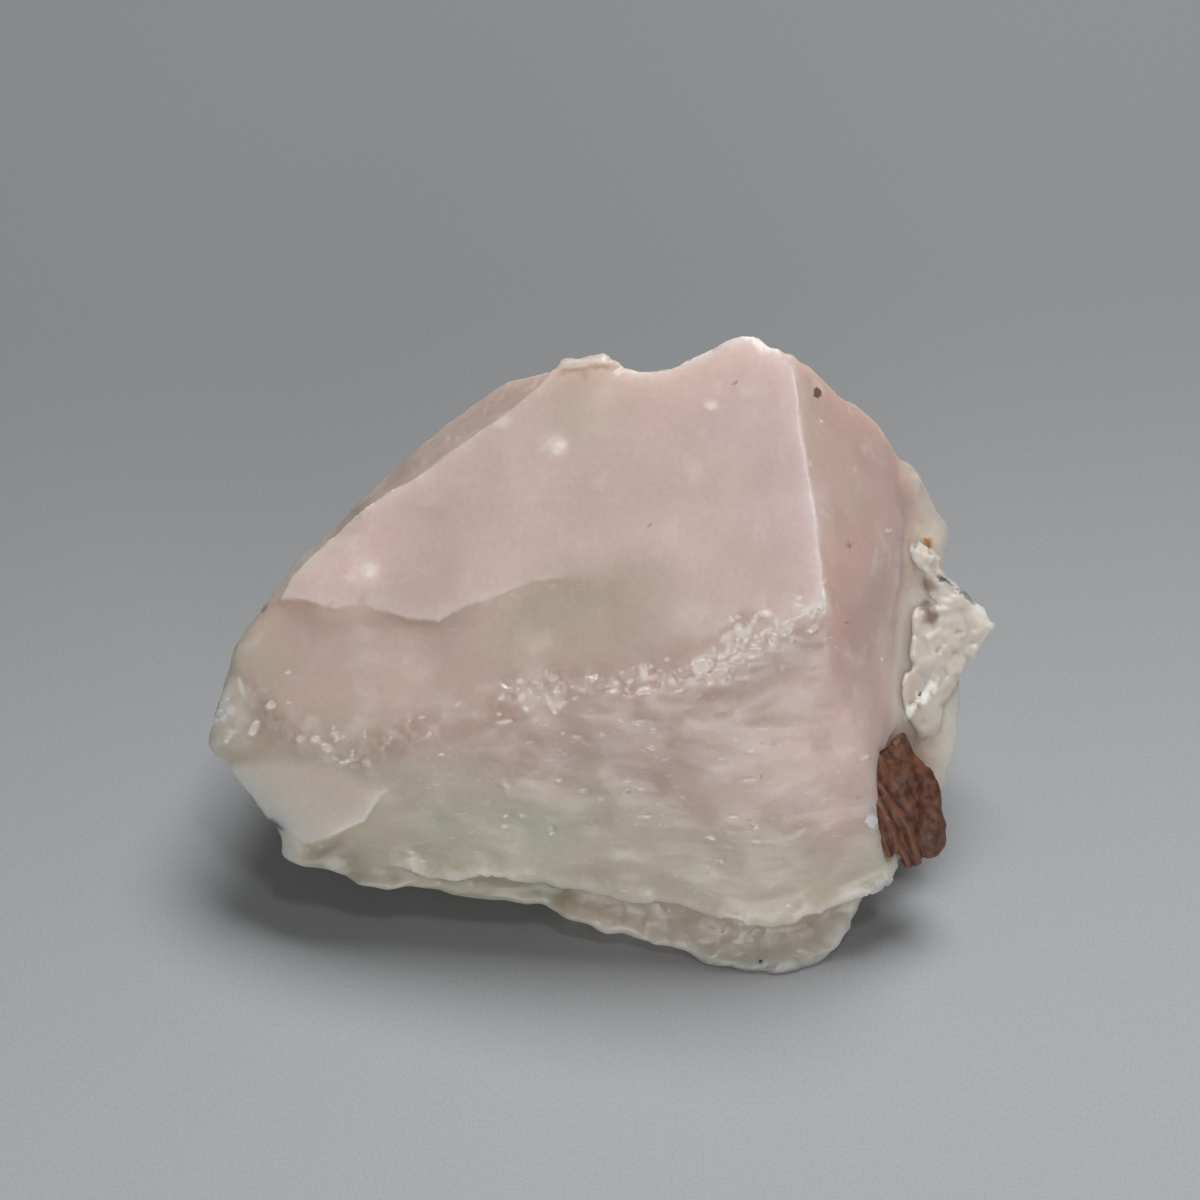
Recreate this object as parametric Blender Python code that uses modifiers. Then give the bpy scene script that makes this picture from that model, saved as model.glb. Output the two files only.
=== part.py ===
"""A piece of rough morganite, about 41 mm long, broken from a larger crystal.

The stone is one solid of pink and pale green beryl. White feldspar has grown on its right flank, and a
grain of brown mica sits in a socket below that. Every length here is in millimetres: x runs right, y runs
away from the side that shows best, and z runs up from the flat break that the stone rests on.
"""

import math

import bmesh
import bpy
import numpy as np
from mathutils import Matrix, Vector, noise

MM = 0.001
PARTS = "morganite crystal"
GUIDES = "blocks and cutters"

# The large flat face on top, as the height of its plane at the origin and its rise per millimetre
TOP_HEIGHT = 17.7
TOP_RISE_RIGHT = 0.235
TOP_RISE_BACK = 0.415

# How fine the stone is worked before its flat parts are thinned out again
GRAIN = 0.28
SMALL_GRAIN = 0.16
STONE_TRIANGLES = 6600
FELDSPAR_TRIANGLES = 1300
MICA_TRIANGLES = 1000
SOCKET_TRIANGLES = 420

# The room that the stone leaves round the two minerals that are set into it, past the reach of their relief
SOCKET_GAP = 0.32
SOCKET_RELIEF = 0.25

# Flakes of a broken surface: their size, how steeply they lean and how they are drawn out along x, y and z
FRONT_FLAKES = (1.7, 0.24, (2.6, 1.2, 0.8))
FRONT_SPLINTERS = (0.9, 0.14, (2.0, 1.0, 0.8))
FAR_FLAKES = (3.2, 0.34, (1.0, 1.0, 1.0))
UNDER_FLAKES = (2.0, 0.40, (1.0, 1.0, 1.0))
FLANK_FLAKES = (2.8, 0.05, (1.0, 1.0, 1.0))
BREAK_FLAKES = (1.15, 0.62, (0.8, 1.0, 1.4))
FELDSPAR_FLAKES = (1.0, 0.34, (1.0, 1.0, 1.0))
FLAKE_LEAN_STEP = 37.0

# How deep the band of small chips along a broken edge lies, and how wide the band is
BREAK_SINK = 0.12
BREAK_REACH = 1.9

# Long low swells: the distance from crest to crest and the height, on flat faces and on broken ones
SWELL_LENGTH = 7.0
FLAT_SWELL = 0.05
BROKEN_SWELL = 0.33
FELDSPAR_SWELL = (2.2, 0.10)
MICA_SWELL = (1.6, 0.20)

# The leaves of the mica: radians of ripple in each millimetre, how far the ripples stand out, how they slant
# and bend as they run down, and how unevenly they lie
LEAF_RIPPLE = 4.6
LEAF_HEIGHT = 0.17
LEAF_SLANT = 0.35
LEAF_BEND = 0.5
LEAF_BEND_RATE = 0.55
LEAF_WANDER = 1.3

# Which way the surface has to face, as a share of its normal, to count wholly as one side of the stone
FACE_LIKE = (0.88, 0.97)
FRONT_LIKE = (0.25, 0.65)
BEHIND_LIKE = (-0.1, 0.4)
BELOW_LIKE = (0.0, 0.5)
SIDE_LIKE = (0.3, 0.7)
LIP_LIKE = (0.2, 0.5)

# A point well inside the stone, and how far the floor cut reaches sideways and down
STONE_MIDDLE = (0.0, 0.0, 9.0)
CUT_REACH = 30.0
CUT_DEPTH = 10.0


def on_top(x, y, sunk=0.0):
    """A point over (x, y) on the top face, or sunk below it."""
    return x, y, TOP_HEIGHT + TOP_RISE_RIGHT * x + TOP_RISE_BACK * y - sunk


# The upper block: everything above the long lip along the front
UPPER = {
    # the top face, clockwise from its far left corner
    "far_left": on_top(-1.8, 10.1, 0.3),
    "peak": on_top(7.7, 9.8),
    "peak_right": on_top(9.2, 8.6),
    "far_right": on_top(9.9, 7.3),
    "near_right": on_top(11.2, -4.5, 0.1),
    "near_middle": on_top(2.1, -7.0, 0.4),
    "near_left": on_top(-4.8, -5.9, 0.9),
    "plate_tip": on_top(-16.6, 0.4, 0.45),
    "plate_side": on_top(-7.5, 6.5, 0.5),
    # the far left edge, where a narrow strip turns down and away
    "strip_top": (-4.5, 11.5, 19.2),
    "strip_high": (-6.7, 11.6, 17.2),
    "strip_middle": (-9.4, 10.8, 15.1),
    "strip_low": (-12.4, 8.6, 13.3),
    "strip_end": (-16.0, 5.0, 11.6),
    "strip_foot": (-17.8, 2.5, 10.8),
    # the blunt left end
    "left_shoulder": (-18.7, -1.6, 11.8),
    "left_cheek": (-19.8, -3.6, 9.8),
    "left_tip": (-20.2, -4.8, 7.8),
    "left_brow": (-14.9, -6.2, 10.8),
    "break_left": (-10.6, -7.8, 10.2),
    "facet_tip": (-14.3, -8.3, 5.4),
    # the lower edge of the front
    "lip_left": (-10.1, -9.4, 4.4),
    "lip_mid": (-2.9, -10.2, 3.9),
    "lip_low": (4.2, -11.2, 3.1),
    "lip_right": (9.6, -12.1, 2.5),
    "lip_end": (15.3, -10.5, 3.4),
    # the rounded right flank
    "brow_top": (12.7, 8.1, 20.9),
    "brow": (14.7, 9.2, 18.0),
    "brow_low": (16.0, 9.1, 15.4),
    "flank_far": (13.3, 3.6, 18.7),
    "flank_far_low": (15.4, 3.4, 15.5),
    "flank_near": (13.2, -2.6, 16.4),
    "flank_high": (15.4, 0.4, 13.4),
    "flank_low": (15.2, -4.2, 9.0),
    "flank_foot": (15.7, -8.6, 4.4),
    # the far side and the underside
    "back_right": (12.8, 12.0, 10.0),
    "back_middle": (4.5, 14.2, 11.5),
    "back_left": (-5.0, 13.4, 11.0),
    "back_corner": (-13.6, 8.8, 6.5),
    "back_end": (-17.8, 2.0, 7.2),
    "under_left": (-14.0, -4.0, 4.4),
    "under_back": (-8.0, 8.0, 3.0),
    "under_right": (13.0, 6.0, 3.0),
}

# The thin plate that still covers the far part of the top face, in three overlapping pieces
PLATES = {
    "plate_left": ((-16.3, 0.2), (-15.6, 1.3), (-13.3, 3.1), (-9.9, 5.1), (-7.0, 5.0), (-9.0, -1.5),
                   (-10.7, -0.8), (-12.8, -1.0)),
    "plate_middle": ((-9.9, 5.1), (-7.5, 6.3), (-4.9, 7.7), (-1.8, 10.1), (0.2, 10.0), (4.0, 2.0),
                     (-1.8, -1.1), (-5.4, -1.7), (-7.9, -2.3), (-9.2, -1.4)),
    "plate_right": ((-1.8, 10.1), (1.2, 9.6), (5.3, 9.3), (7.5, 9.6), (9.0, 4.0), (4.0, 0.0), (1.2, -1.3),
                    (-2.5, -1.2)),
}
PLATE_DEPTH = 2.0

# The small flat facet below the left end, which stands a little proud
FACET = {
    "facet_left": (-19.1, -5.9, 7.5),
    "facet_chin": (-17.6, -7.2, 6.0),
    "facet_point": (-14.5, -9.1, 5.3),
    "facet_right": (-12.3, -9.0, 6.6),
    "facet_corner": (-10.6, -8.3, 8.6),
    "facet_top": (-13.4, -7.4, 9.2),
    "facet_inside_left": (-17.0, -3.0, 8.0),
    "facet_inside_right": (-11.0, -5.0, 8.0),
    "facet_inside_low": (-14.0, -5.5, 5.2),
}

# The lower block: the sunken hem under the lip, down to the flat break that the stone rests on
HEM = {
    "hem_end": (-16.9, -8.6, 5.0),
    "hem_corner": (-15.8, -9.4, 4.6),
    "hem_left": (-12.9, -10.3, 3.8),
    "hem_mid": (-6.0, -10.6, 2.8),
    "foot_left": (-8.5, -6.0, 1.2),
    "hem_low": (-1.0, -10.9, 1.7),
    "hem_under": (-1.0, -8.5, 0.9),
    "inside_left": (-13.0, -4.0, 7.0),
    "inside_right": (0.0, -6.0, 7.0),
}
TOE = {
    "toe_left": (-2.2, -11.3, 2.1),
    "toe_mid": (2.2, -11.7, 0.9),
    "toe_front": (6.3, -13.1, 0.2),
    "toe_low": (8.1, -13.4, 0.0),
    "toe_right": (11.5, -13.1, 0.1),
    "toe_end": (12.9, -12.3, 1.0),
    "toe_flank": (14.2, -10.3, 3.0),
    "sole_left": (-2.0, -8.0, -0.6),
    "sole_front": (7.5, -12.8, -0.6),
    "sole_right": (11.2, -12.4, -0.6),
    "sole_flank": (12.6, -4.0, -0.6),
    "toe_inside": (2.0, -7.0, 7.0),
    "toe_inside_right": (13.5, -6.0, 6.0),
}
SOLE = {
    "sole_near_left": (-7.0, -5.5, -0.6),
    "sole_far_left": (-9.0, 3.5, -0.6),
    "sole_back": (-4.5, 10.6, -0.6),
    "sole_far_right": (8.5, 10.4, -0.6),
    "sole_side": (13.0, 3.0, -0.6),
    "sole_near_right": (11.0, -9.0, -0.6),
    "waist_left": (-12.5, 0.0, 5.0),
    "waist_back": (-6.5, 11.8, 7.0),
    "waist_far_right": (11.5, 11.0, 7.0),
    "waist_side": (15.5, 3.0, 6.0),
    "waist_near": (8.0, -9.0, 6.0),
}

# The glassy green ledge that carries the feldspar along the right flank
LEDGE = {
    "crest_far": (16.3, 8.6, 14.9),
    "crest_lump": (17.2, 8.3, 13.9),
    "crest_edge": (18.3, 7.1, 12.7),
    "crest_low": (18.3, 6.1, 11.7),
    "glass_high": (18.8, 1.6, 8.9),
    "glass_top": (19.5, -0.7, 7.2),
    "glass_edge": (19.3, -3.3, 5.7),
    "glass_low": (18.4, -5.0, 4.5),
    "glass_foot": (17.2, -6.0, 3.4),
    "glass_under": (16.4, -4.5, 2.4),
    "ledge_far": (17.2, 7.0, 5.5),
    "ledge_back": (15.5, 10.0, 9.0),
    "ledge_inside": (12.0, 0.0, 8.0),
    "ledge_inside_back": (12.0, 7.0, 12.0),
}

# Rounded lumps on the crest of the ledge, each with its middle and its half sizes
LUMPS = {
    "lump_high": ((15.9, 8.2, 14.6), (1.5, 1.4, 1.1)),
    "lump_far": ((16.6, 7.6, 13.3), (1.5, 1.5, 1.2)),
    "lump_edge": ((17.3, 6.6, 12.2), (1.5, 1.3, 1.3)),
    "lump_low": ((17.0, 5.6, 11.0), (1.2, 1.2, 1.2)),
    "lump_peak": ((9.4, 8.3, 22.9), (1.0, 0.8, 0.8)),
}

# Hollows broken out of the stone, each with its middle and its half sizes
SCOOPS = {
    "rim_notch": ((3.4, 12.7, 23.4), (4.7, 4.2, 4.2)),
    "under_hollow": ((-12.5, -1.0, 1.2), (7.0, 9.0, 3.6)),
    "far_hollow": ((8.5, 17.2, 5.5), (6.5, 5.0, 6.5)),
    "far_left_hollow": ((-13.5, 13.6, 5.0), (7.5, 4.5, 4.0)),
}

# White feldspar: a thin blade, the ridge below it and a pointed lobe
FELDSPAR = {
    "blade": ((16.3, 6.1, 13.0), (16.9, 6.1, 12.9), (18.3, 5.2, 12.0), (18.0, 4.3, 11.5), (16.3, 4.9, 12.9),
              (15.4, 5.2, 11.6), (16.8, 4.2, 10.4), (17.2, 5.4, 11.0)),
    "ridge": ((17.4, 4.9, 11.9), (18.3, 4.6, 11.7), (19.1, 4.3, 10.9), (19.8, 3.5, 10.4), (19.8, 2.6, 10.0),
              (18.3, 3.2, 10.8), (17.4, 4.0, 11.3), (17.6, 3.0, 9.0), (18.6, 3.6, 9.2)),
    "lobe": ((18.2, 3.3, 10.6), (19.4, 3.5, 10.5), (20.3, 3.3, 10.2), (21.1, 2.5, 9.7), (20.6, 1.9, 9.4),
             (20.0, 1.3, 8.9), (19.3, 0.4, 8.2), (18.1, 2.3, 10.3), (18.6, 0.6, 7.6), (20.0, 2.6, 8.6)),
    "field": ((18.2, 3.2, 10.5), (19.2, 1.9, 9.6), (19.3, 0.4, 8.4), (18.3, -1.3, 7.7), (17.4, 1.1, 10.1),
              (16.5, -0.8, 9.7), (16.6, 2.4, 11.0), (16.3, 0.8, 7.9), (17.3, -1.2, 6.8), (15.0, -0.6, 8.0)),
    "tail": ((16.5, -0.7, 9.7), (18.3, -1.2, 7.7), (18.1, -2.5, 7.1), (17.0, -3.3, 7.6), (15.9, -3.0, 9.0),
             (15.6, -1.6, 9.6), (15.2, -1.6, 7.4), (16.6, -2.8, 6.4)),
}

# Brown mica: a bent book of thin leaves, seen on their edges
MICA = {
    "top": (15.8, -4.3, 9.0),
    "shoulder": (16.6, -5.4, 8.4),
    "ear": (17.3, -5.8, 7.6),
    "waist": (17.4, -6.9, 6.7),
    "knee": (18.1, -7.6, 5.4),
    "toe": (18.3, -7.9, 4.6),
    "toe_low": (17.7, -8.3, 3.8),
    "foot": (16.3, -9.3, 4.0),
    "heel": (15.0, -9.5, 4.9),
    "left_low": (14.5, -8.8, 6.8),
    "left": (14.0, -6.9, 8.7),
    "left_top": (14.7, -5.6, 9.2),
    "inside_top": (14.8, -4.6, 7.2),
    "inside_left": (13.4, -6.4, 6.8),
    "inside_low": (14.4, -7.6, 4.0),
    "inside_right": (16.4, -6.2, 4.4),
}

# The lower edge of the front, as its height along x, and how far the hem draws back under it
LIP_ALONG = (-15.0, -10.1, -7.5, -2.9, -1.9, 1.2, 4.2, 6.3, 9.3, 10.4, 12.2, 15.4)
LIP_HEIGHT = (5.2, 4.4, 3.9, 4.0, 3.5, 3.2, 3.2, 2.7, 2.4, 2.8, 2.8, 3.4)
LIP_DEPTH = 0.6
LIP_EDGE = 0.3
LIP_WAVE = (1.1, 0.3)
HEM_RISE = 1.3

# The lines along which the near edge of the top face and the left end are broken into small chips
BREAK_LINE = ((11.0, -4.4, 18.4), (9.9, -5.7, 16.9), (8.0, -6.5, 16.2), (5.0, -7.1, 15.6), (2.1, -7.0, 15.1),
              (-1.8, -6.5, 14.2), (-4.8, -6.1, 13.4))
LEFT_BREAK = ((-18.9, -3.4, 10.4), (-16.8, -5.2, 10.4), (-14.9, -6.3, 10.7), (-12.8, -7.0, 10.5),
              (-10.6, -7.7, 10.2))


def new_object(name, mesh, collection=GUIDES):
    made = bpy.data.objects.new(name, mesh)
    bpy.data.collections[collection].objects.link(made)
    if collection == GUIDES:
        made.hide_render = True
        made.display_type = "WIRE"
    return made


def hull(name, corners):
    """A convex block that reaches the given corners."""
    shell = bmesh.new()
    for corner in corners:
        shell.verts.new(Vector(corner) * MM)
    made = bmesh.ops.convex_hull(shell, input=shell.verts)
    loose = [v for v in made["geom_interior"] if isinstance(v, bmesh.types.BMVert)]
    bmesh.ops.delete(shell, geom=loose, context="VERTS")
    bmesh.ops.recalc_face_normals(shell, faces=shell.faces)
    mesh = bpy.data.meshes.new(name)
    shell.to_mesh(mesh)
    shell.free()
    return new_object(name, mesh)


def plate(name, outline):
    """A slab whose upper side lies on the top face."""
    upper = [on_top(x, y) for x, y in outline]
    lower = [on_top(x, y, PLATE_DEPTH) for x, y in outline]
    return hull(name, upper + lower)


def pebble(name, middle, half_sizes):
    """A rounded lump, or the hollow that such a lump leaves."""
    shell = bmesh.new()
    bmesh.ops.create_icosphere(shell, subdivisions=3, radius=1.0)
    stretch = Matrix.Diagonal(Vector(half_sizes) * MM).to_4x4()
    shell.transform(Matrix.Translation(Vector(middle) * MM) @ stretch)
    mesh = bpy.data.meshes.new(name)
    shell.to_mesh(mesh)
    shell.free()
    return new_object(name, mesh)


def applied(source, name):
    """A plain mesh object of what source looks like with its modifiers."""
    graph = bpy.context.evaluated_depsgraph_get()
    mesh = bpy.data.meshes.new_from_object(source.evaluated_get(graph))
    mesh.name = name
    return new_object(name, mesh)


def combine(target, other, operation):
    step = target.modifiers.new(operation.lower() + "_" + other.name, "BOOLEAN")
    step.operation = operation
    step.object = other
    step.solver = "EXACT"


def remeshed(source, name, size):
    step = source.modifiers.new("even_grain", "REMESH")
    step.mode = "VOXEL"
    step.voxel_size = size * MM
    return applied(source, name)


def thinned(source, name, triangles):
    """Source with its flat parts joined into larger triangles, down to the given count."""
    source.data.calc_loop_triangles()
    step = source.modifiers.new("thin_out", "DECIMATE")
    step.ratio = triangles / len(source.data.loop_triangles)
    step.use_collapse_triangulate = True
    return applied(source, name)


def ramp(low, high, value):
    """Rises smoothly from 0 at low to 1 at high."""
    part = min(max((value - low) / (high - low), 0.0), 1.0)
    return part * part * (3.0 - 2.0 * part)


def distance_to_line(point, line):
    """How far a point is from a line of straight runs."""
    best = math.inf
    for start, end in zip(line, line[1:]):
        start = Vector(start)
        run = Vector(end) - start
        share = min(max((point - start).dot(run) / run.length_squared, 0.0), 1.0)
        best = min(best, (point - start - run * share).length)
    return best


def flake(point, kind):
    """How far a broken surface stands out at a point: small flat flakes, each with its own tilt."""
    size, tilt, stretch = kind
    place = Vector(part / (size * along) for part, along in zip(point, stretch))
    middle = noise.voronoi(place)[1][0]
    lean = noise.cell_vector(middle * FLAKE_LEAN_STEP) - Vector((0.5, 0.5, 0.5))
    return size * tilt * (place - middle).dot(lean)


def swell(point, length, height):
    return height * noise.fractal(point / length, 0.9, 2.0, 3)


def rework(source, depth_at):
    """Moves every point of a mesh along its normal by depth_at, which is given in millimetres."""
    mesh = source.data
    places = [vertex.co / MM for vertex in mesh.vertices]
    normals = [Vector(corner.vector) for corner in mesh.vertex_normals]
    for vertex, place, normal in zip(mesh.vertices, places, normals):
        vertex.co = (place + normal * depth_at(place, normal)) * MM
    mesh.update()


def soften(source, rounds, share=0.5):
    """Draws every point towards the middle of its neighbours."""
    mesh = source.data
    count = len(mesh.vertices)
    places = np.empty(count * 3)
    mesh.vertices.foreach_get("co", places)
    places = places.reshape(-1, 3)
    ends = np.empty(len(mesh.edges) * 2, dtype=np.int64)
    mesh.edges.foreach_get("vertices", ends)
    ends = ends.reshape(-1, 2)
    near = np.bincount(ends.ravel(), minlength=count)[:, None]
    for _ in range(rounds):
        total = np.zeros_like(places)
        np.add.at(total, ends[:, 0], places[ends[:, 1]])
        np.add.at(total, ends[:, 1], places[ends[:, 0]])
        places += share * (total / near - places)
    mesh.vertices.foreach_set("co", places.ravel())
    mesh.update()


def face_through(first, second, third):
    """The middle and the outward normal of the flat face that runs through three corners."""
    first, second, third = Vector(first), Vector(second), Vector(third)
    normal = (second - first).cross(third - first).normalized()
    middle = (first + second + third) / 3
    if normal.dot(middle - Vector(STONE_MIDDLE)) < 0:
        normal.negate()
    return middle, normal


# The flat faces, each with how far from its plane the surface still counts as that face
FLATS = (
    (face_through(on_top(0, 0), on_top(5, 0), on_top(0, 5)), 1.5),
    (face_through(FACET["facet_left"], FACET["facet_point"], FACET["facet_corner"]), 0.5),
    (face_through(UPPER["strip_high"], UPPER["strip_low"], on_top(-9.9, 5.1)), 1.0),
)


def flatness(place, normal):
    """1 on a flat crystal face, 0 away from them all."""
    best = 0.0
    for (middle, outward), reach in FLATS:
        along = ramp(*FACE_LIKE, normal.dot(outward))
        best = max(best, along * ramp(reach, reach * 0.7, abs((place - middle).dot(outward))))
    return best


def lip_depth(place):
    """How far the hem draws back just under the lip; it comes out again lower down."""
    wave_length, wave_height = LIP_WAVE
    height = float(np.interp(place.x, LIP_ALONG, LIP_HEIGHT))
    under = height + wave_height * noise.noise(place / wave_length) - place.z
    return -LIP_DEPTH * ramp(0.0, LIP_EDGE, under) * math.exp(-max(under, 0.0) / HEM_RISE)


def stone_depth(place, normal):
    """The relief of the stone: flat on its crystal faces, flaked and wavy where it broke."""
    rough = 1.0 - flatness(place, normal)
    front = ramp(*FRONT_LIKE, -normal.y) * rough
    behind = ramp(*BEHIND_LIKE, normal.y) * rough
    below = ramp(*BELOW_LIKE, -normal.z)
    side = ramp(*SIDE_LIKE, normal.x) * rough * (1.0 - front)
    away = min(distance_to_line(place, BREAK_LINE), distance_to_line(place, LEFT_BREAK))
    broken = ramp(BREAK_REACH, BREAK_REACH / 3, away)
    depth = swell(place, SWELL_LENGTH, FLAT_SWELL + (BROKEN_SWELL - FLAT_SWELL) * rough)
    depth += front * (flake(place, FRONT_FLAKES) + flake(place, FRONT_SPLINTERS))
    depth += behind * flake(place, FAR_FLAKES)
    depth += below * flake(place, UNDER_FLAKES)
    depth += side * flake(place, FLANK_FLAKES)
    depth += broken * (flake(place, BREAK_FLAKES) - BREAK_SINK)
    return depth + ramp(*LIP_LIKE, -normal.y) * lip_depth(place)


def joined(blocks, name, size):
    """One even solid that covers all the blocks."""
    union = bmesh.new()
    for block in blocks:
        union.from_mesh(block.data)
    mesh = bpy.data.meshes.new(name + "_blocks")
    union.to_mesh(mesh)
    union.free()
    return remeshed(new_object(name + "_blocks", mesh), name, size)


def build_stone():
    blocks = [hull("upper_block", UPPER.values())]
    blocks += [plate(name, outline) for name, outline in PLATES.items()]
    blocks.append(hull("facet_block", FACET.values()))
    blocks.append(hull("hem_block", HEM.values()))
    blocks.append(hull("toe_block", TOE.values()))
    blocks.append(hull("sole_block", SOLE.values()))
    blocks.append(hull("ledge_block", LEDGE.values()))
    blocks += [pebble(name, *shape) for name, shape in LUMPS.items()]
    whole = joined(blocks, "stone_whole", GRAIN)
    for name, shape in SCOOPS.items():
        combine(whole, pebble(name, *shape), "DIFFERENCE")
    grained = remeshed(whole, "stone_grained", GRAIN)
    soften(grained, 1)
    rework(grained, stone_depth)
    closed = remeshed(grained, "stone_closed", GRAIN)
    soften(closed, 1, 0.3)
    return thinned(closed, "stone_thinned", STONE_TRIANGLES)


def build_feldspar():
    blocks = [hull("feldspar_" + name, corners) for name, corners in FELDSPAR.items()]
    grained = joined(blocks, "feldspar_grained", SMALL_GRAIN)
    soften(grained, 2)
    return grained


def feldspar_depth(place, normal):
    return swell(place, *FELDSPAR_SWELL) + flake(place, FELDSPAR_FLAKES)


def build_mica():
    grained = remeshed(hull("mica_block", MICA.values()), "mica_grained", SMALL_GRAIN)
    soften(grained, 3)
    return grained


def mica_depth(place, normal):
    """Leaves that run down the grain, bent a little as they go."""
    across = place.x + LEAF_SLANT * place.z + LEAF_BEND * math.sin(LEAF_BEND_RATE * place.z)
    leaves = math.sin(across * LEAF_RIPPLE + LEAF_WANDER * noise.noise(place / MICA_SWELL[0]))
    return LEAF_HEIGHT * leaves + swell(place, *MICA_SWELL)


def socket_for(grained, name):
    """A slightly larger copy of a mineral, which the stone is cut with."""
    copy = new_object(name + "_swollen", grained.data.copy())
    rework(copy, lambda place, normal: SOCKET_GAP + SOCKET_RELIEF)
    room = remeshed(copy, name + "_room", GRAIN)
    soften(room, 4)
    return thinned(room, name + "_socket", SOCKET_TRIANGLES)


def material(name, colour, roughness):
    made = bpy.data.materials.new(name)
    made.use_nodes = True
    shader = made.node_tree.nodes["Principled BSDF"]
    shader.inputs["Base Color"].default_value = (*colour, 1.0)
    shader.inputs["Roughness"].default_value = roughness
    shader.inputs["Metallic"].default_value = 0.0
    return made


def finished(source, name, colour, roughness, shift):
    """The kept object: the source's mesh with its material, shifted to put the origin in its middle."""
    mesh = source.data.copy()
    mesh.name = name
    mesh.transform(Matrix.Translation(shift))
    mesh.materials.clear()
    mesh.materials.append(material(name + "_colour", colour, roughness))
    return new_object(name, mesh, PARTS)


def main():
    for name in (GUIDES, PARTS):
        if name not in bpy.data.collections:
            made = bpy.data.collections.new(name)
            bpy.context.scene.collection.children.link(made)
    feldspar = build_feldspar()
    mica = build_mica()
    stone = build_stone()
    ends = (-CUT_REACH, CUT_REACH)
    floor_cut = hull("floor_cut", [(x, y, z) for x in ends for y in ends for z in (-CUT_DEPTH, 0.0)])
    combine(stone, floor_cut, "DIFFERENCE")
    combine(stone, socket_for(feldspar, "feldspar"), "DIFFERENCE")
    combine(stone, socket_for(mica, "mica"), "DIFFERENCE")
    stone = applied(stone, "stone_cut")
    rework(feldspar, feldspar_depth)
    rework(mica, mica_depth)
    feldspar = thinned(feldspar, "feldspar_thinned", FELDSPAR_TRIANGLES)
    mica = thinned(mica, "mica_thinned", MICA_TRIANGLES)
    corners = np.array([vertex.co for piece in (stone, feldspar, mica) for vertex in piece.data.vertices])
    middle = (corners.min(axis=0) + corners.max(axis=0)) / 2
    shift = Vector((-middle[0], -middle[1], 0.0))
    finished(stone, "morganite_crystal", (0.52, 0.36, 0.32), 0.35, shift)
    finished(feldspar, "white_feldspar", (0.62, 0.58, 0.50), 0.5, shift)
    finished(mica, "brown_mica", (0.13, 0.05, 0.03), 0.4, shift)


for old in list(bpy.data.objects):
    bpy.data.objects.remove(old)
main()
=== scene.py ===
"""A piece of rough morganite: milky pink beryl that turns pale green below, with white feldspar on its right
flank and a grain of brown mica in a socket.

Run as a script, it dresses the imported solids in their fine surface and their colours, sets up the floor, the
lights and the camera. Lengths in the tables are in millimetres, in
the part's own frame: x runs right, y runs away from the side that shows best, z runs up from the floor.
"""

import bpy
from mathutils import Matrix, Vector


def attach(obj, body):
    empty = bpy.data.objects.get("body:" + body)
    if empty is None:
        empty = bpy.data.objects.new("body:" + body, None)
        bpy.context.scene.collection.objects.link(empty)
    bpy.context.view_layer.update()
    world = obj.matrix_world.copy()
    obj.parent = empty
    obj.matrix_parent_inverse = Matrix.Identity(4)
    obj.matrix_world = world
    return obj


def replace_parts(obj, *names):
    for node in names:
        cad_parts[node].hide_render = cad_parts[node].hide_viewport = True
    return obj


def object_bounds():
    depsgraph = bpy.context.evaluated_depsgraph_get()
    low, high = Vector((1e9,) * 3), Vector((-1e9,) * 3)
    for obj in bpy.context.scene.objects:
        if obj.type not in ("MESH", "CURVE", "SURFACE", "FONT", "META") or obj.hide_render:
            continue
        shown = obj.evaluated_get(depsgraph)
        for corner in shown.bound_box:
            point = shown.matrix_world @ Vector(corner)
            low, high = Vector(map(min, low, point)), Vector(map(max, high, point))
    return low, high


bl_info = {
    "name": "Morganite crystal",
    "version": (1, 0, 0),
    "blender": (4, 5, 0),
    "location": "3D View > Sidebar > Morganite",
    "description": "Gives a rough morganite its broken surface, its colours and a plain stage",
    "category": "Add Mesh",
}

import math

import bmesh
import bpy
import numpy as np
from bpy.props import FloatProperty, FloatVectorProperty, PointerProperty
from mathutils import Vector
from mathutils.bvhtree import BVHTree

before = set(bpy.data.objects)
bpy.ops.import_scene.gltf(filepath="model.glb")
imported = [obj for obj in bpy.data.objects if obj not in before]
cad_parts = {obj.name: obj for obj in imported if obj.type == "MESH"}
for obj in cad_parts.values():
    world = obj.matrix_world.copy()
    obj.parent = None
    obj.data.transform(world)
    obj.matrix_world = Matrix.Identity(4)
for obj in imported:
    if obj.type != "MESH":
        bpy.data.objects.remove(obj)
CAD_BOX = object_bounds()
MM = 0.001
BODY = "root"

# The photograph's view: from the front, half way up, with a long lens
VIEW_AIM = Vector((-0.26, 3.49, 10.0))
VIEW_DISTANCE = 142.0
VIEW_ELEVATION = 45.0
VIEW_LENS = 80.0
VIEW_SENSOR = 36.0

# Where the small bright lamp stands whose light the chips throw back, and which way they face to do so
GLINT_LAMP = Vector((60.0, -70.0, 330.0))
GLINT_HALF = np.array((0.09, -0.48, 0.87))

# The plane of the large flat face on top: its height over the origin, and its rise to the right and to the
# back
TOP_HEIGHT = 18.01
TOP_RISE = Vector((0.235, 0.415))

# The outer edge of the chipped band: from the near right corner to the middle, and round the left end
BREAK_LINE = (
    (10.6, -5.0, 18.0),
    (9.3, -5.6, 17.0),
    (7.4, -6.0, 16.5),
    (5.4, -6.7, 15.5),
    (3.2, -6.8, 15.2),
    (0.6, -7.0, 14.7),
    (-2.4, -6.9, 13.9),
    (-5.0, -6.6, 13.4),
)
LEFT_BREAK = (
    (-8.6, -7.2, 12.0),
    (-12.5, -7.8, 10.0),
    (-14.6, -7.1, 10.0),
    (-17.2, -5.3, 10.5),
    (-19.2, -4.6, 10.0),
    (-19.8, -5.4, 8.6),
)

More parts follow.
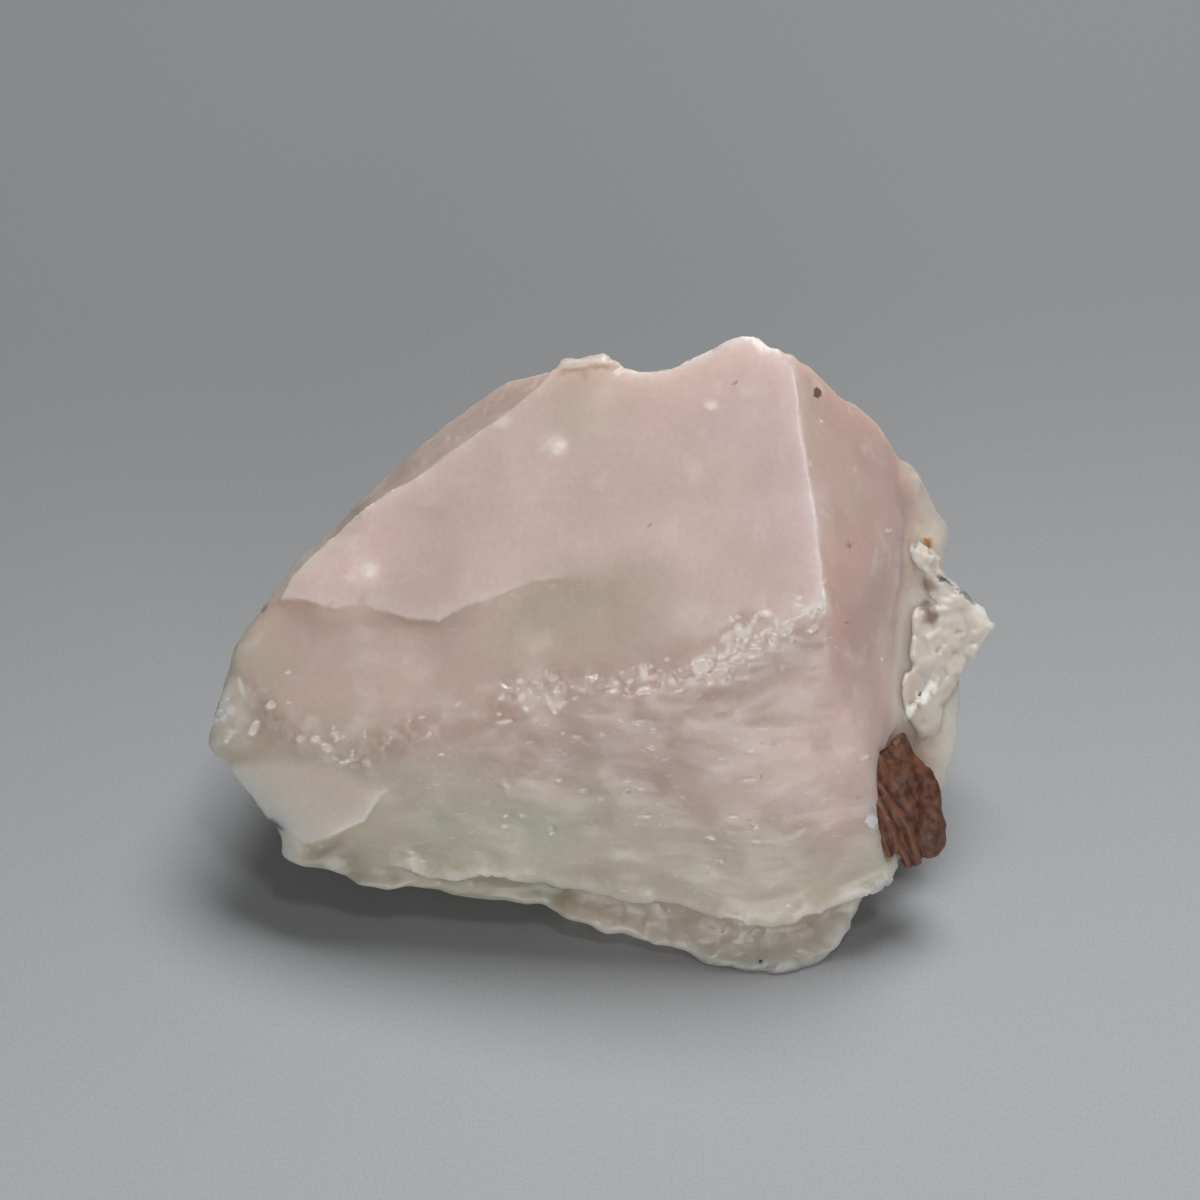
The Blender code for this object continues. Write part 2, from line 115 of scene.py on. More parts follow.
# The long lip along the front, from left to right: x and the height there
LIP = (
    (-15.4, 2.8), (-12.6, 3.2), (-11.8, 3.7), (-10.6, 4.0), (-7.9, 3.9), (-5.2, 4.0),
    (-3.3, 3.8), (-2.4, 3.5), (-0.8, 3.2), (0.8, 3.2), (3.8, 3.3), (5.9, 2.9),
    (7.4, 2.5), (8.9, 2.4), (10.0, 2.9), (11.8, 2.9), (15.0, 3.5),
)

# Small flat chips that throw the light back: middle, half length, half width, and the turn of the long side
# in degrees from level
CHIPS = (
    # the bright cluster right of the middle of the break
    (5.7, -6.7, 15.6, 0.34, 0.24, 20),
    (6.4, -6.1, 16.5, 0.42, 0.12, 65),
    (7.0, -5.7, 17.0, 0.40, 0.11, 62),
    (7.3, -5.2, 17.4, 0.30, 0.10, 58),
    (6.8, -6.5, 15.9, 0.20, 0.14, 10),
    (5.2, -6.9, 14.9, 0.22, 0.12, -20),
    (4.6, -6.9, 15.1, 0.20, 0.15, 30),
    (5.3, -6.2, 16.2, 0.24, 0.07, 85),
    (6.1, -6.8, 14.9, 0.14, 0.10, 0),
    (6.0, -6.3, 16.1, 0.15, 0.10, 30),
    (3.7, -7.0, 14.9, 0.13, 0.09, 0),
    # the right end of the break
    (10.2, -5.2, 17.7, 0.26, 0.10, 50),
    (10.5, -5.0, 18.0, 0.16, 0.08, 60),
    (9.5, -4.6, 18.1, 0.13, 0.09, 20),
    (9.1, -5.5, 17.2, 0.17, 0.11, 70),
    (9.1, -5.8, 16.4, 0.19, 0.11, 0),
    (8.4, -5.7, 17.0, 0.16, 0.10, 80),
    (8.7, -6.5, 15.2, 0.14, 0.08, 10),
    (8.6, -6.3, 15.7, 0.10, 0.07, 0),
    # the edge between the top and the right flank
    (10.6, -3.0, 18.9, 0.14, 0.05, 80),
    (10.7, -3.9, 18.6, 0.15, 0.06, 50),
    (10.4, 0.2, 20.2, 0.12, 0.04, 85),
    (10.2, 2.0, 20.9, 0.14, 0.04, 85),
    # the middle of the break
    (1.9, -6.8, 15.2, 0.40, 0.20, 85),
    (2.3, -6.5, 15.5, 0.12, 0.09, 40),
    (3.0, -6.3, 15.7, 0.12, 0.11, 0),
    (3.6, -7.3, 14.4, 0.28, 0.06, 5),
    (0.5, -6.9, 14.7, 0.20, 0.06, -25),
    (0.4, -7.3, 14.4, 0.14, 0.05, -20),
    (-1.2, -7.0, 14.3, 0.20, 0.05, -20),
    (-1.6, -6.8, 14.3, 0.16, 0.05, -15),
    # the round bubbles left of the middle, and the bright streak beside them
    (-4.2, -6.1, 13.9, 0.17, 0.15, 0),
    (-5.0, -6.2, 13.7, 0.22, 0.09, -40),
    (-3.5, -6.3, 14.0, 0.13, 0.10, -20),
    (-3.7, -6.6, 13.7, 0.10, 0.10, 0),
    (-2.9, -6.0, 14.3, 0.16, 0.08, 60),
    (-2.4, -6.8, 14.0, 0.18, 0.15, 0),
    (-2.7, -7.3, 13.6, 0.55, 0.14, 105),
    (-4.1, -6.9, 13.5, 0.24, 0.17, 60),
    (-3.2, -7.0, 13.7, 0.12, 0.08, 0),
    (-5.0, -7.7, 12.7, 0.42, 0.09, -15),
    (-5.3, -7.4, 12.9, 0.12, 0.10, 0),
    # the left end
    (-7.3, -6.7, 12.9, 0.20, 0.05, 25),
    (-9.2, -7.0, 12.2, 0.22, 0.05, -15),
    (-8.1, -8.2, 10.8, 0.20, 0.05, 0),
    (-12.8, -7.8, 9.9, 0.62, 0.07, -8),
    (-12.7, -7.7, 10.3, 0.20, 0.06, 50),
    (-13.5, -7.1, 10.7, 0.18, 0.10, 40),
    (-13.1, -7.1, 10.9, 0.12, 0.08, 0),
    (-14.0, -7.1, 10.4, 0.12, 0.06, 0),
    (-16.9, -4.9, 10.9, 0.24, 0.21, 0),
    (-18.6, -3.6, 10.8, 0.50, 0.12, 85),
    (-19.3, -5.4, 8.8, 0.30, 0.12, 10),
    (-19.5, -4.6, 9.6, 0.22, 0.15, 0),
    (-16.1, -3.7, 12.0, 0.20, 0.06, -25),
    (-15.4, -4.6, 11.8, 0.26, 0.04, 35),
    (-16.0, -5.1, 11.2, 0.14, 0.06, -20),
    (-17.9, -5.6, 9.4, 0.16, 0.05, 0),
    # dashes on the front
    (1.7, -7.9, 12.9, 0.40, 0.09, 0),
    (-1.3, -8.2, 12.1, 0.32, 0.06, -15),
    (-2.1, -8.1, 12.3, 0.14, 0.05, 20),
    (-2.0, -8.5, 11.2, 0.13, 0.06, 0),
    (-3.7, -8.1, 11.6, 0.24, 0.04, 0),
    (2.3, -8.1, 12.6, 0.14, 0.05, -25),
    (-4.9, -9.0, 9.4, 0.22, 0.08, -25),
    (-2.3, -9.0, 9.7, 0.20, 0.06, 0),
    (-1.1, -9.3, 9.3, 0.36, 0.06, -5),
    (-0.1, -9.5, 8.9, 0.18, 0.05, 0),
    (1.0, -9.4, 9.4, 0.30, 0.07, 8),
    (-5.0, -9.5, 7.6, 0.20, 0.07, 10),
    (-4.1, -9.6, 7.7, 0.20, 0.08, -10),
    (-5.0, -9.7, 7.1, 0.26, 0.07, 0),
    (-2.7, -9.9, 7.0, 0.20, 0.12, 30),
    (2.1, -10.0, 8.1, 0.44, 0.05, -8),
    (6.4, -10.3, 8.4, 0.26, 0.04, 0),
    (7.5, -10.4, 7.9, 0.30, 0.05, -20),
    (5.3, -10.6, 7.2, 0.24, 0.10, -20),
    (6.2, -10.8, 6.7, 0.18, 0.07, -25),
    (5.9, -11.1, 5.9, 0.20, 0.10, 0),
    (7.1, -9.4, 10.2, 0.32, 0.05, -5),
    # the hem, and the right side
    (6.8, -12.8, 1.3, 0.16, 0.10, 0),
    (5.8, -12.7, 1.3, 0.10, 0.08, 0),
    (13.0, -8.0, 10.3, 0.28, 0.06, 25),
    (14.5, 2.0, 16.5, 0.22, 0.06, 20),
    (10.9, 5.0, 21.3, 0.12, 0.09, 0),
    (14.1, -3.3, 12.5, 0.12, 0.10, 0),
)

# Fields of random chips: the middle, how many, how far to each side, and their usual half length and slimness
CHIP_FIELDS = (
    ((7.5, -5.6, 16.9), 13, (1.6, 1.1, 1.3), 0.30, 0.40),
    ((5.6, -6.8, 15.4), 8, (1.1, 0.8, 0.7), 0.28, 0.60),
    ((9.9, -5.2, 17.6), 6, (0.9, 0.9, 0.9), 0.24, 0.45),
    ((2.0, -6.9, 15.0), 6, (1.1, 0.8, 0.6), 0.22, 0.50),
    ((-3.6, -6.7, 13.8), 6, (1.6, 0.9, 0.8), 0.20, 0.60),
    ((-0.5, -7.0, 14.4), 4, (1.8, 0.6, 0.6), 0.20, 0.40),
    ((-13.6, -7.2, 10.4), 6, (2.0, 1.2, 0.8), 0.22, 0.40),
    ((-18.8, -4.5, 9.8), 8, (1.1, 1.2, 1.4), 0.32, 0.50),
    ((7.0, -12.4, 1.5), 4, (3.0, 1.2, 0.9), 0.14, 0.60),
)

# Chips of the feldspar, in the same way: the pale blade and the ridge below it, and the bright patches
FELDSPAR_CHIPS = (
    (16.5, 4.7, 12.6, 0.95, 0.26, -52),
    (18.2, 3.4, 11.3, 0.80, 0.22, -40),
    (19.2, 3.0, 10.6, 0.60, 0.18, -35),
    (16.7, -2.2, 8.7, 0.42, 0.26, 40),
    (16.0, -3.0, 8.9, 0.36, 0.22, 20),
    (17.3, -1.4, 8.9, 0.26, 0.16, 60),
    (17.6, 0.2, 9.6, 0.30, 0.18, 30),
    (18.8, 1.2, 9.8, 0.26, 0.20, 0),
)

# The outline of the flat top face, in runs: how gently the face fades out across the edges that start in the
# run, how steeply the stone falls away past them, and the x and y of each corner
TOP_OUTLINE = (
    # the jagged ledge of the thin plate
    (0.05, 6.0, (
        (-16.6, -0.3), (-15.6, -0.5), (-14.7, -0.9), (-13.8, -1.3), (-12.4, -1.3), (-11.6, -1.7),
        (-10.0, -2.4), (-8.5, -2.8), (-7.5, -2.5), (-7.0, -2.3), (-5.1, -2.0),
    )),
    (0.06, 6.0, ((-3.8, -1.6),)),
    (0.20, 6.0, ((-2.3, -1.7),)),
    (0.80, 6.0, ((-0.8, -1.8),)),
    (1.70, 6.0, ((0.7, -2.3),)),
    (2.40, 6.0, ((1.6, -3.9),)),
    # along the broken edge
    (1.20, 6.0, ((2.6, -5.6),)),
    (0.40, 6.0, ((4.4, -6.0),)),
    (0.35, 6.0, ((5.4, -5.8), (6.6, -4.8), (7.6, -5.2), (8.6, -5.9))),
    (0.30, 6.0, ((9.6, -5.7),)),
    (0.10, 3.0, ((10.3, -5.3),)),
    # up the crisp right edge to the peak
    (0.03, 3.6, ((10.75, -5.2),)),
    (0.03, 3.0, ((10.58, -3.2),)),
    (0.03, 2.5, ((10.47, -2.0), (10.3, 0.0), (10.1, 1.85), (9.9, 3.7), (9.7, 5.5), (9.48, 7.1))),
    (0.04, 1.7, ((8.8, 8.1), (7.3, 9.3))),
    # back along the far edge
    (0.04, 1.7, (
        (5.5, 9.0), (4.9, 8.65), (3.8, 8.15), (2.6, 8.0), (1.8, 8.2), (0.8, 8.9), (-0.3, 9.2),
        (-2.2, 9.55),
    )),
    # and down the left edge
    (0.04, 1.7, (
        (-3.4, 8.5), (-5.3, 7.2), (-6.5, 6.6), (-8.0, 5.75), (-9.2, 5.0), (-10.4, 4.45), (-12.4, 3.65),
        (-13.7, 2.5), (-15.2, 1.5), (-16.05, 0.65),
    )),
)

# The small flat facet below the left end, in the same way, with z as well
FACET_OUTLINE = (
    (0.30, 3.0, ((-19.2, -6.3, 7.7),)),
    (0.05, 3.0, (
        (-18.1, -7.5, 6.5), (-16.7, -8.7, 5.6), (-15.2, -9.5, 5.3), (-13.8, -9.5, 6.1), (-12.2, -9.3, 7.0),
    )),
    (0.30, 3.0, ((-11.2, -8.8, 8.6),)),
    (0.60, 3.0, ((-13.4, -7.9, 9.3), (-16.4, -6.9, 8.9))),
)

# Places where the stone swells or sinks a little: the middle, the reach, and how far its points move
SHIFTS = (
    ((-15.8, -8.6, 4.6), 3.6, (-0.1, -0.5, -0.7)),
    ((-12.0, -9.8, 3.9), 3.0, (0.0, -0.2, -0.4)),
    ((5.3, 9.3, 22.9), 1.5, (0.0, 0.0, -0.3)),
    ((9.0, 8.7, 23.5), 1.5, (0.0, 0.0, -0.3)),
    ((8.5, -12.6, 3.6), 3.0, (0.0, 0.35, 0.0)),
    ((8.5, -12.4, 1.6), 2.6, (0.0, -0.25, 0.0)),
)

# How the fine surfaces are made: the gaps that are closed round the minerals, the coarsest and the quick
# spacing of points, how far the stone is smoothed everywhere and beside the feldspar, how far away beside it
# begins and is full, how often a mineral is smoothed, how wide the stone falls away past the edge of a flat
# face, how far from a chip's plane it is pressed in, how far the feldspar stands proud, and the most
# triangles that a piece keeps
SOCKET_GAP = 0.42
FELDSPAR_GAP = 1.3
COARSE_GRAIN = 0.18
QUICK_GRAIN = 0.2
STONE_SMOOTHING = 5.5
BESIDE_SMOOTHING = 2.0
BESIDE_RANGE = (2.6, 1.4)
MINERAL_ROUNDS = 14
SKIRT_WIDTH = 0.7
CHIP_REACH = 0.9
FELDSPAR_RISE = 0.10
STONE_TRIANGLES = 196000
MINERAL_TRIANGLES = 60000

# How deep the stone lies below the face of each mineral that it holds, and how far from that face it does so
SUNK = (("feldspar_crust", 0.06), ("mica_grain", 0.34))
SUNK_REACH = 0.6
SUNK_RANGE = (0.34, 0.16)

# The farthest that the stone looks for the feldspar
FELDSPAR_REACH = 3.0

# The relief of the stone: the height between two growth steps, how far the lip stands out, how deep the
# hollow below it is, and how far the thin plate on the far rim stands up
STEP_HEIGHT = 0.5
LIP_RISE = 0.26
HOLLOW_DEPTH = 0.12
PLATE_RISE = 0.10

CORNERS = np.array([(x, y, z) for x in (0, 1) for y in (0, 1) for z in (0, 1)], dtype=float)
NEIGHBOURS = np.array([(x, y, z) for x in (-1, 0, 1) for y in (-1, 0, 1) for z in (-1, 0, 1)], dtype=float)
CELL_STEPS = np.array((374761393, 668265263, 1440662683), dtype=np.int64)
CELL_STIR = 1274126177
CELL_BITS = 0xFFFFFFFF
HALF_TURN = math.sqrt(0.5)
ALONG_SHARE = 0.25


def ramp(low, high, value):
    """Rises smoothly from 0 at low to 1 at high, or falls if high is the lower one."""
    part = np.clip((value - low) / (high - low), 0.0, 1.0)
    return part * part * (3.0 - 2.0 * part)


def cell_numbers(cells, seed):
    """A fixed random number from 0 to 1 for each whole-numbered cell."""
    mixed = (cells.astype(np.int64) @ CELL_STEPS + seed * CELL_STIR) & CELL_BITS
    mixed = ((mixed ^ (mixed >> 13)) * CELL_STIR) & CELL_BITS
    return ((mixed ^ (mixed >> 16)) & 0xFFFFFF) / 0xFFFFFF


def swell(places, size, seed, layers=1):
    """Smooth lumps of about size across, from -1 to 1; each further layer is half as large."""
    total = np.zeros(len(places))
    for layer in range(layers):
        spots = places / size * 2.0 ** layer + 17.3 * layer
        low = np.floor(spots)
        part = spots - low
        fade = part * part * (3.0 - 2.0 * part)
        for corner in CORNERS:
            share = np.prod(np.where(corner > 0, fade, 1.0 - fade), axis=1)
            total += 0.5 ** layer * share * (2.0 * cell_numbers(low + corner, seed + layer) - 1.0)
    return total


def flakes(places, size, tilt, stretch=(1.0, 1.0, 1.0), seed=1):
    """How far a broken surface stands out at each place: small flat flakes, each with its own tilt."""
    spots = places / (size * np.array(stretch))
    low = np.floor(spots)
    nearest = np.full(len(spots), np.inf)
    height = np.zeros(len(spots))
    for step in NEIGHBOURS:
        cell = low + step
        middle = cell + np.stack([cell_numbers(cell, seed + axis) for axis in range(3)], axis=1)
        away = spots - middle
        distance = (away * away).sum(axis=1)
        closer = distance < nearest
        nearest[closer] = distance[closer]
        own = cell[closer]
        lean = np.stack([cell_numbers(own, seed + 5 + axis) for axis in range(3)], axis=1) - 0.5
        height[closer] = (away[closer] * lean).sum(axis=1)
    return size * tilt * height


def triples(collection, name):
    """Three numbers for each entry of one of a mesh's collections, such as the places of its points."""
    numbers = np.empty(len(collection) * 3, dtype=np.float32)
    collection.foreach_get(name, numbers)
    return numbers.reshape(-1, 3).astype(float)


def distance_to_line(points, line):
    """How far each point is from a line of straight runs."""
    best = np.full(len(points), np.inf)
    for start, end in zip(line, line[1:]):
        start = np.array(start)
        run = np.array(end) - start
        share = np.clip((points - start) @ run / (run @ run), 0.0, 1.0)
        best = np.minimum(best, np.linalg.norm(points - start - share[:, None] * run, axis=1))
    return best


class Flat:
    """A flat face: its plane, and its outline in that plane."""

    def __init__(self, corners, softness, fall):
        corners = np.array(corners, dtype=float)
        self.middle = corners.mean(axis=0)
        axes = np.linalg.svd(corners - self.middle)[2]
        self.axes = axes if axes[2, 2] > 0.0 else -axes
        self.corners = (corners - self.middle) @ self.axes[:2].T
        self.softness = np.array(softness)
        self.fall = np.array(fall)

    def inside(self, places):
        """How far each place in the plane is inside the outline, and the nearest edge's softness and fall."""
        best = np.full(len(places), np.inf)
        softness = np.zeros(len(places))
        fall = np.zeros(len(places))
        within = np.zeros(len(places), dtype=bool)
        for index, start in enumerate(self.corners):
            after = (index + 1) % len(self.corners)
            end = self.corners[after]
            run = end - start
            share = np.clip((places - start) @ run / (run @ run), 0.0, 1.0)
            distance = np.linalg.norm(places - start - share[:, None] * run, axis=1)
            closer = distance < best
            best[closer] = distance[closer]
            softness[closer] = (self.softness[index] * (1.0 - share) + self.softness[after] * share)[closer]
            fall[closer] = self.fall[index]
            spans = (start[1] > places[:, 1]) != (end[1] > places[:, 1])
            if abs(run[1]) > 1e-9:
                crossing = start[0] + (places[:, 1] - start[1]) / run[1] * run[0]
                within ^= spans & (places[:, 0] < crossing)
        return np.where(within, best, -best), softness, fall

    def press(self, surface, reach, ragged):
        """Presses the surface flat within the outline, with a crisp edge."""
        away = surface.points - self.middle
        height = away @ self.axes[2]
        close = np.flatnonzero(np.abs(height) < reach)
        inside, softness, fall = self.inside(away[close] @ self.axes[:2].T)
        inside += ragged * swell(surface.points[close], 0.9, 19, 3)
        height = height[close]
        share = ramp(-softness, softness, inside)
        skirt = np.maximum(height, fall * np.minimum(inside, 0.0)) - height
        skirt *= ramp(0.3, 0.1, softness) * (inside > -SKIRT_WIDTH) * (inside < 0.0)
        flat = (height + skirt) * (1.0 - share)
        move = (flat - height) * ramp(reach, 0.7 * reach, np.abs(height))
        surface.points[close] += move[:, None] * self.axes[2]


class Surface:
    """A closed surface in millimetres, while its relief is being worked."""

    def __init__(self, mesh, grain):
        holder = bpy.data.objects.new("surface_holder", mesh)
        bpy.context.scene.collection.objects.link(holder)
        step = holder.modifiers.new("even_grain", "REMESH")
        step.mode = "VOXEL"
        step.voxel_size = grain * MM
        self.mesh = self.worked(holder)
        self.points = triples(self.mesh.vertices, "co") / MM
        ends = np.empty(len(self.mesh.edges) * 2, dtype=np.int32)
        self.mesh.edges.foreach_get("vertices", ends)
        self.edges = ends.reshape(-1, 2)
        self.near = np.bincount(ends, minlength=len(self.points))[:, None]

    @classmethod
    def of_all(cls, names, grain, gap):
        """One surface round several pieces, with the gaps between them closed."""
        joined = bpy.data.meshes.new("joined")
        build = bmesh.new()
        for name in names:
            build.from_mesh(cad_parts[name].data)
        build.to_mesh(joined)
        build.free()
        coarse = max(grain, COARSE_GRAIN)
        surface = cls(joined, coarse)
        for move in (gap, -gap):
            surface.raise_by(np.full(len(surface.points), move))
            surface.store()
            surface = cls(surface.mesh, coarse if move > 0.0 else grain)
        return surface

    def fill_in(self, fuller, share):
        """Draws points out to a fuller surface, each by its own share."""
        tree = BVHTree.FromPolygons([Vector(point) for point in fuller.points],
                                    [tuple(face.vertices) for face in fuller.mesh.polygons])
        close = np.flatnonzero(share > 0.01)
        nearest = distances_to(self.points[close], tree, FELDSPAR_REACH)[1]
        self.points[close] += share[close, None] * (nearest - self.points[close])

    @staticmethod
    def worked(holder):
        """The mesh that an object's modifiers give; the object is taken away again."""
        graph = bpy.context.evaluated_depsgraph_get()
        mesh = bpy.data.meshes.new_from_object(holder.evaluated_get(graph))
        bpy.data.objects.remove(holder)
        return mesh

    def store(self):
        """Writes the points back to the mesh."""
        self.mesh.vertices.foreach_set("co", (self.points * MM).astype(np.float32).ravel())
        self.mesh.update()

    def normals(self):
        """The way that the surface faces at each point."""
        self.store()
        return triples(self.mesh.vertex_normals, "vector")

    def relax(self, rounds, share):
        """Draws every point towards the middle of its neighbours."""
        for _ in range(rounds):
            self.points += share[:, None] * (self.around() - self.points)

    def around(self):
        """The middle of each point's neighbours."""
        first, second = self.edges.T
        total = np.empty_like(self.points)
        for axis in range(3):
            ahead = np.bincount(first, self.points[second, axis], len(self.points))
            total[:, axis] = ahead + np.bincount(second, self.points[first, axis], len(self.points))
        return total / self.near

    def soften(self, rounds, share):
        """Draws every point towards the middle of its neighbours, and back out a little to keep its bulk."""
        for turn in range(2 * rounds):
            step = share if turn % 2 == 0 else -1.04 * share
            self.points += step * (self.around() - self.points)

    def raise_by(self, depth):
        """Moves each point out by its own depth."""
        self.points += self.normals() * depth[:, None]

    def chip(self, chip, facing, sink=0.03):
        """Presses one small flat facet, which faces one way, into the surface, and tells where it lies."""
        middle = np.array(chip[:3])
        half_length, half_width, turn = chip[3:]
        facing = facing / np.linalg.norm(facing)
        level = np.cross((0.0, 0.0, 1.0), facing)
        level /= np.linalg.norm(level)
        turn = math.radians(turn)
        along = level * math.cos(turn) + np.cross(facing, level) * math.sin(turn)
        axes = np.array((along / half_length, np.cross(facing, along) / half_width, facing))
        close = np.flatnonzero(np.abs(self.points - middle).max(axis=1) < half_length + CHIP_REACH)
        away = (self.points[close] - middle) @ axes.T
        core = close[np.hypot(away[:, 0], away[:, 1]) < 0.6]
        if len(core) == 0:
            return None
        nearest = self.points[core[np.argmin(np.linalg.norm(self.points[core] - middle, axis=1))]]
        nearest = nearest - facing * sink
        away = (self.points[close] - nearest) @ axes.T
        spread = np.hypot(away[:, 0], away[:, 1]) + 0.35 * swell(self.points[close], 0.3, 17, 2)
        share = ramp(1.15, 0.85, spread) * ramp(CHIP_REACH, 0.7 * CHIP_REACH, np.abs(away[:, 2]))
        self.points[close] -= facing * (away[:, 2] * share)[:, None]
        return nearest, axes

    def finished(self, name, triangles):
        """The kept object, thinned out to a number of triangles."""
        self.store()
        holder = bpy.data.objects.new(name + "_holder", self.mesh)
        bpy.context.scene.collection.objects.link(holder)
        step = holder.modifiers.new("thin_out", "DECIMATE")
        step.ratio = min(1.0, triangles / (2 * len(self.mesh.polygons)))
        step.use_collapse_triangulate = True
        mesh = self.worked(holder)
        mesh.name = name
        mesh.materials.clear()
        mesh.shade_smooth()
        made = bpy.data.objects.new(name, mesh)
        bpy.context.scene.collection.objects.link(made)
        return made


def tree_of(thing):
    """A search tree of an object's triangles, in millimetres."""
    corners = [vertex.co / MM for vertex in thing.data.vertices]
    return BVHTree.FromPolygons(corners, [tuple(face.vertices) for face in thing.data.polygons])


def distances_to(points, tree, reach):
    """How far each point is from a tree's surface, up to reach, and the nearest places there."""
    distance = np.full(len(points), reach)
    nearest = points.copy()
    for index, point in enumerate(points):
        place, _, _, far = tree.find_nearest(Vector(point), reach)
        if place is not None:
            distance[index] = far
            nearest[index] = place
    return distance, nearest


def keep_measure(thing, name, values):
    """Keeps a number for each point of a piece, which its material reads."""
    measure = thing.data.attributes.new(name, "FLOAT", "POINT")
    measure.data.foreach_set("value", np.asarray(values, dtype=np.float32))


def keep_tint(thing, colours):
    """Keeps a colour for each point of a piece, which its material reads."""
    tint = thing.data.attributes.new("tint", "FLOAT_COLOR", "POINT")
    full = np.ones((len(colours), 4), dtype=np.float32)
    full[:, :3] = colours
    tint.data.foreach_set("color", full.ravel())


def points_of(thing):
    """The places of an object's points, in millimetres."""
    return triples(thing.data.vertices, "co") / MM


def camera_place():
    """Where the camera stands."""
    elevation = math.radians(VIEW_ELEVATION)
    return VIEW_AIM + VIEW_DISTANCE * Vector((0.0, -math.cos(elevation), math.sin(elevation)))


def glint_facing(middle, loose, draw):
    """The way a chip has to face to throw the small lamp's light to the viewer, give or take loose."""
    middle = Vector(middle)
    half = (camera_place() - middle).normalized() + (GLINT_LAMP - middle).normalized()
    return np.array(half.normalized()) + loose * draw.uniform(-1.0, 1.0, 3)


def deep_places(points):
    """Points in the axes of Look.deep_place."""
    x, y, z = np.asarray(points, dtype=float).T
    return np.stack((x, (y + z) * HALF_TURN, (z - y) * ALONG_SHARE * HALF_TURN), axis=-1)


class Value:
    """A number on its way through a material; sums and products of it add their nodes."""

    def __init__(self, look, socket):
        self.look = look
        self.socket = socket

    def __add__(self, other):
        return self.look.math("ADD", self, other)

    __radd__ = __add__

    def __sub__(self, other):
        return self.look.math("SUBTRACT", self, other)

    def __rsub__(self, other):
        return self.look.math("SUBTRACT", other, self)

    def __mul__(self, other):
        return self.look.math("MULTIPLY", self, other)

    __rmul__ = __mul__

    def rise(self, low, high):
        """0 below low, 1 above high, and smooth between; it falls if high is the lower one."""
        if low > high:
            return 1.0 - self.rise(high, low)
        inputs = {"Value": self, "From Min": low, "From Max": high}
        return self.look.take("ShaderNodeMapRange", "Result", {"interpolation_type": "SMOOTHSTEP"}, inputs)


class Look:
    """A material under construction."""

    def __init__(self, name):
        self.material = bpy.data.materials.new(name)
        self.material.use_nodes = True
        self.tree = self.material.node_tree
        self.tree.nodes.clear()
        where = self.take("ShaderNodeTexCoord", "Object")
        self.place = self.vector("SCALE", where, Scale=1.0 / MM)
        split = self.add("ShaderNodeSeparateXYZ", {}, {"Vector": self.place})
        self.x, self.y, self.z = (Value(self, split.outputs[axis]) for axis in "XYZ")

    def deep_place(self):
        """The place with across, up and along the view as axes; lengths along the view count for less."""
        up = (self.y + self.z) * HALF_TURN
        along = (self.z - self.y) * (ALONG_SHARE * HALF_TURN)
        return self.take("ShaderNodeCombineXYZ", "Vector", {}, {"X": self.x, "Y": up, "Z": along})

    def add(self, kind, settings=None, inputs=None):
        """A new node: first its settings, then the values or links of its sockets."""
        node = self.tree.nodes.new(kind)
        for name, setting in (settings or {}).items():
            setattr(node, name, setting)
        for name, value in (inputs or {}).items():
            socket = node.inputs[name]
            if isinstance(value, Value):
                self.tree.links.new(value.socket, socket)
            elif socket.type == "RGBA":
                socket.default_value = (*value, 1.0)
            else:
                socket.default_value = value
        return node

    def take(self, kind, output, settings=None, inputs=None):
        """The value of one output of a new node."""
        return Value(self, self.add(kind, settings, inputs).outputs[output])

    def math(self, operation, *values):
        """A sum, a product or the like of numbers."""
        return self.take("ShaderNodeMath", 0, {"operation": operation}, dict(enumerate(values)))

    def vector(self, operation, *values, **named):
        """The like for places and colours, and the distance between two places."""
        output = "Value" if operation == "DISTANCE" else "Vector"
        inputs = {**dict(enumerate(values)), **named}
        return self.take("ShaderNodeVectorMath", output, {"operation": operation}, inputs)

    def mix(self, share, first, second):
        """Second laid over first, where share is 1."""
        inputs = {0: share, 6: first, 7: second}
        return self.take("ShaderNodeMix", 2, {"data_type": "RGBA"}, inputs)

    def noise(self, size, detail, stretch=None, output="Fac"):
        """Cloudy noise with lumps about size millimetres across, around a half."""
        place = self.place if stretch is None else self.vector("MULTIPLY", self.place, stretch)
        inputs = {"Vector": place, "Scale": 1.0 / size, "Detail": detail, "Roughness": 0.55}
        return self.take("ShaderNodeTexNoise", output, {}, inputs)

    def near(self, place, point, reach, soft):
        """1 within reach of a point, 0 past reach plus soft."""
        return self.vector("DISTANCE", place, point).rise(reach + soft, reach)

    def measure(self, name):
        """The number kept for each point under a name."""
        return self.take("ShaderNodeAttribute", "Fac", {"attribute_name": name})

    def finish(self, shader_inputs):
        """The finished material, from what goes into its shader."""
        shader = self.add("ShaderNodeBsdfPrincipled", {}, shader_inputs)
        output = self.add("ShaderNodeOutputMaterial")
        self.tree.links.new(shader.outputs["BSDF"], output.inputs["Surface"])
        return self.material

    def bump(self, height, strength, distance):
        """The finest unevenness, which only turns the way that the surface faces."""
        inputs = {"Height": height, "Strength": strength, "Distance": distance * MM}
        return self.take("ShaderNodeBump", "Normal", {}, inputs)


def colour_property(label, description, default):
    return FloatVectorProperty(name=label, description=description, default=default, subtype="COLOR", size=3,
                               min=0.0, max=1.0)


def length_property(label, description, default):
    return FloatProperty(name=label, description=description, default=default, unit="LENGTH", precision=6)


def strength_property(label, description, default):
    return FloatProperty(name=label, description=description, default=default, min=0.0)


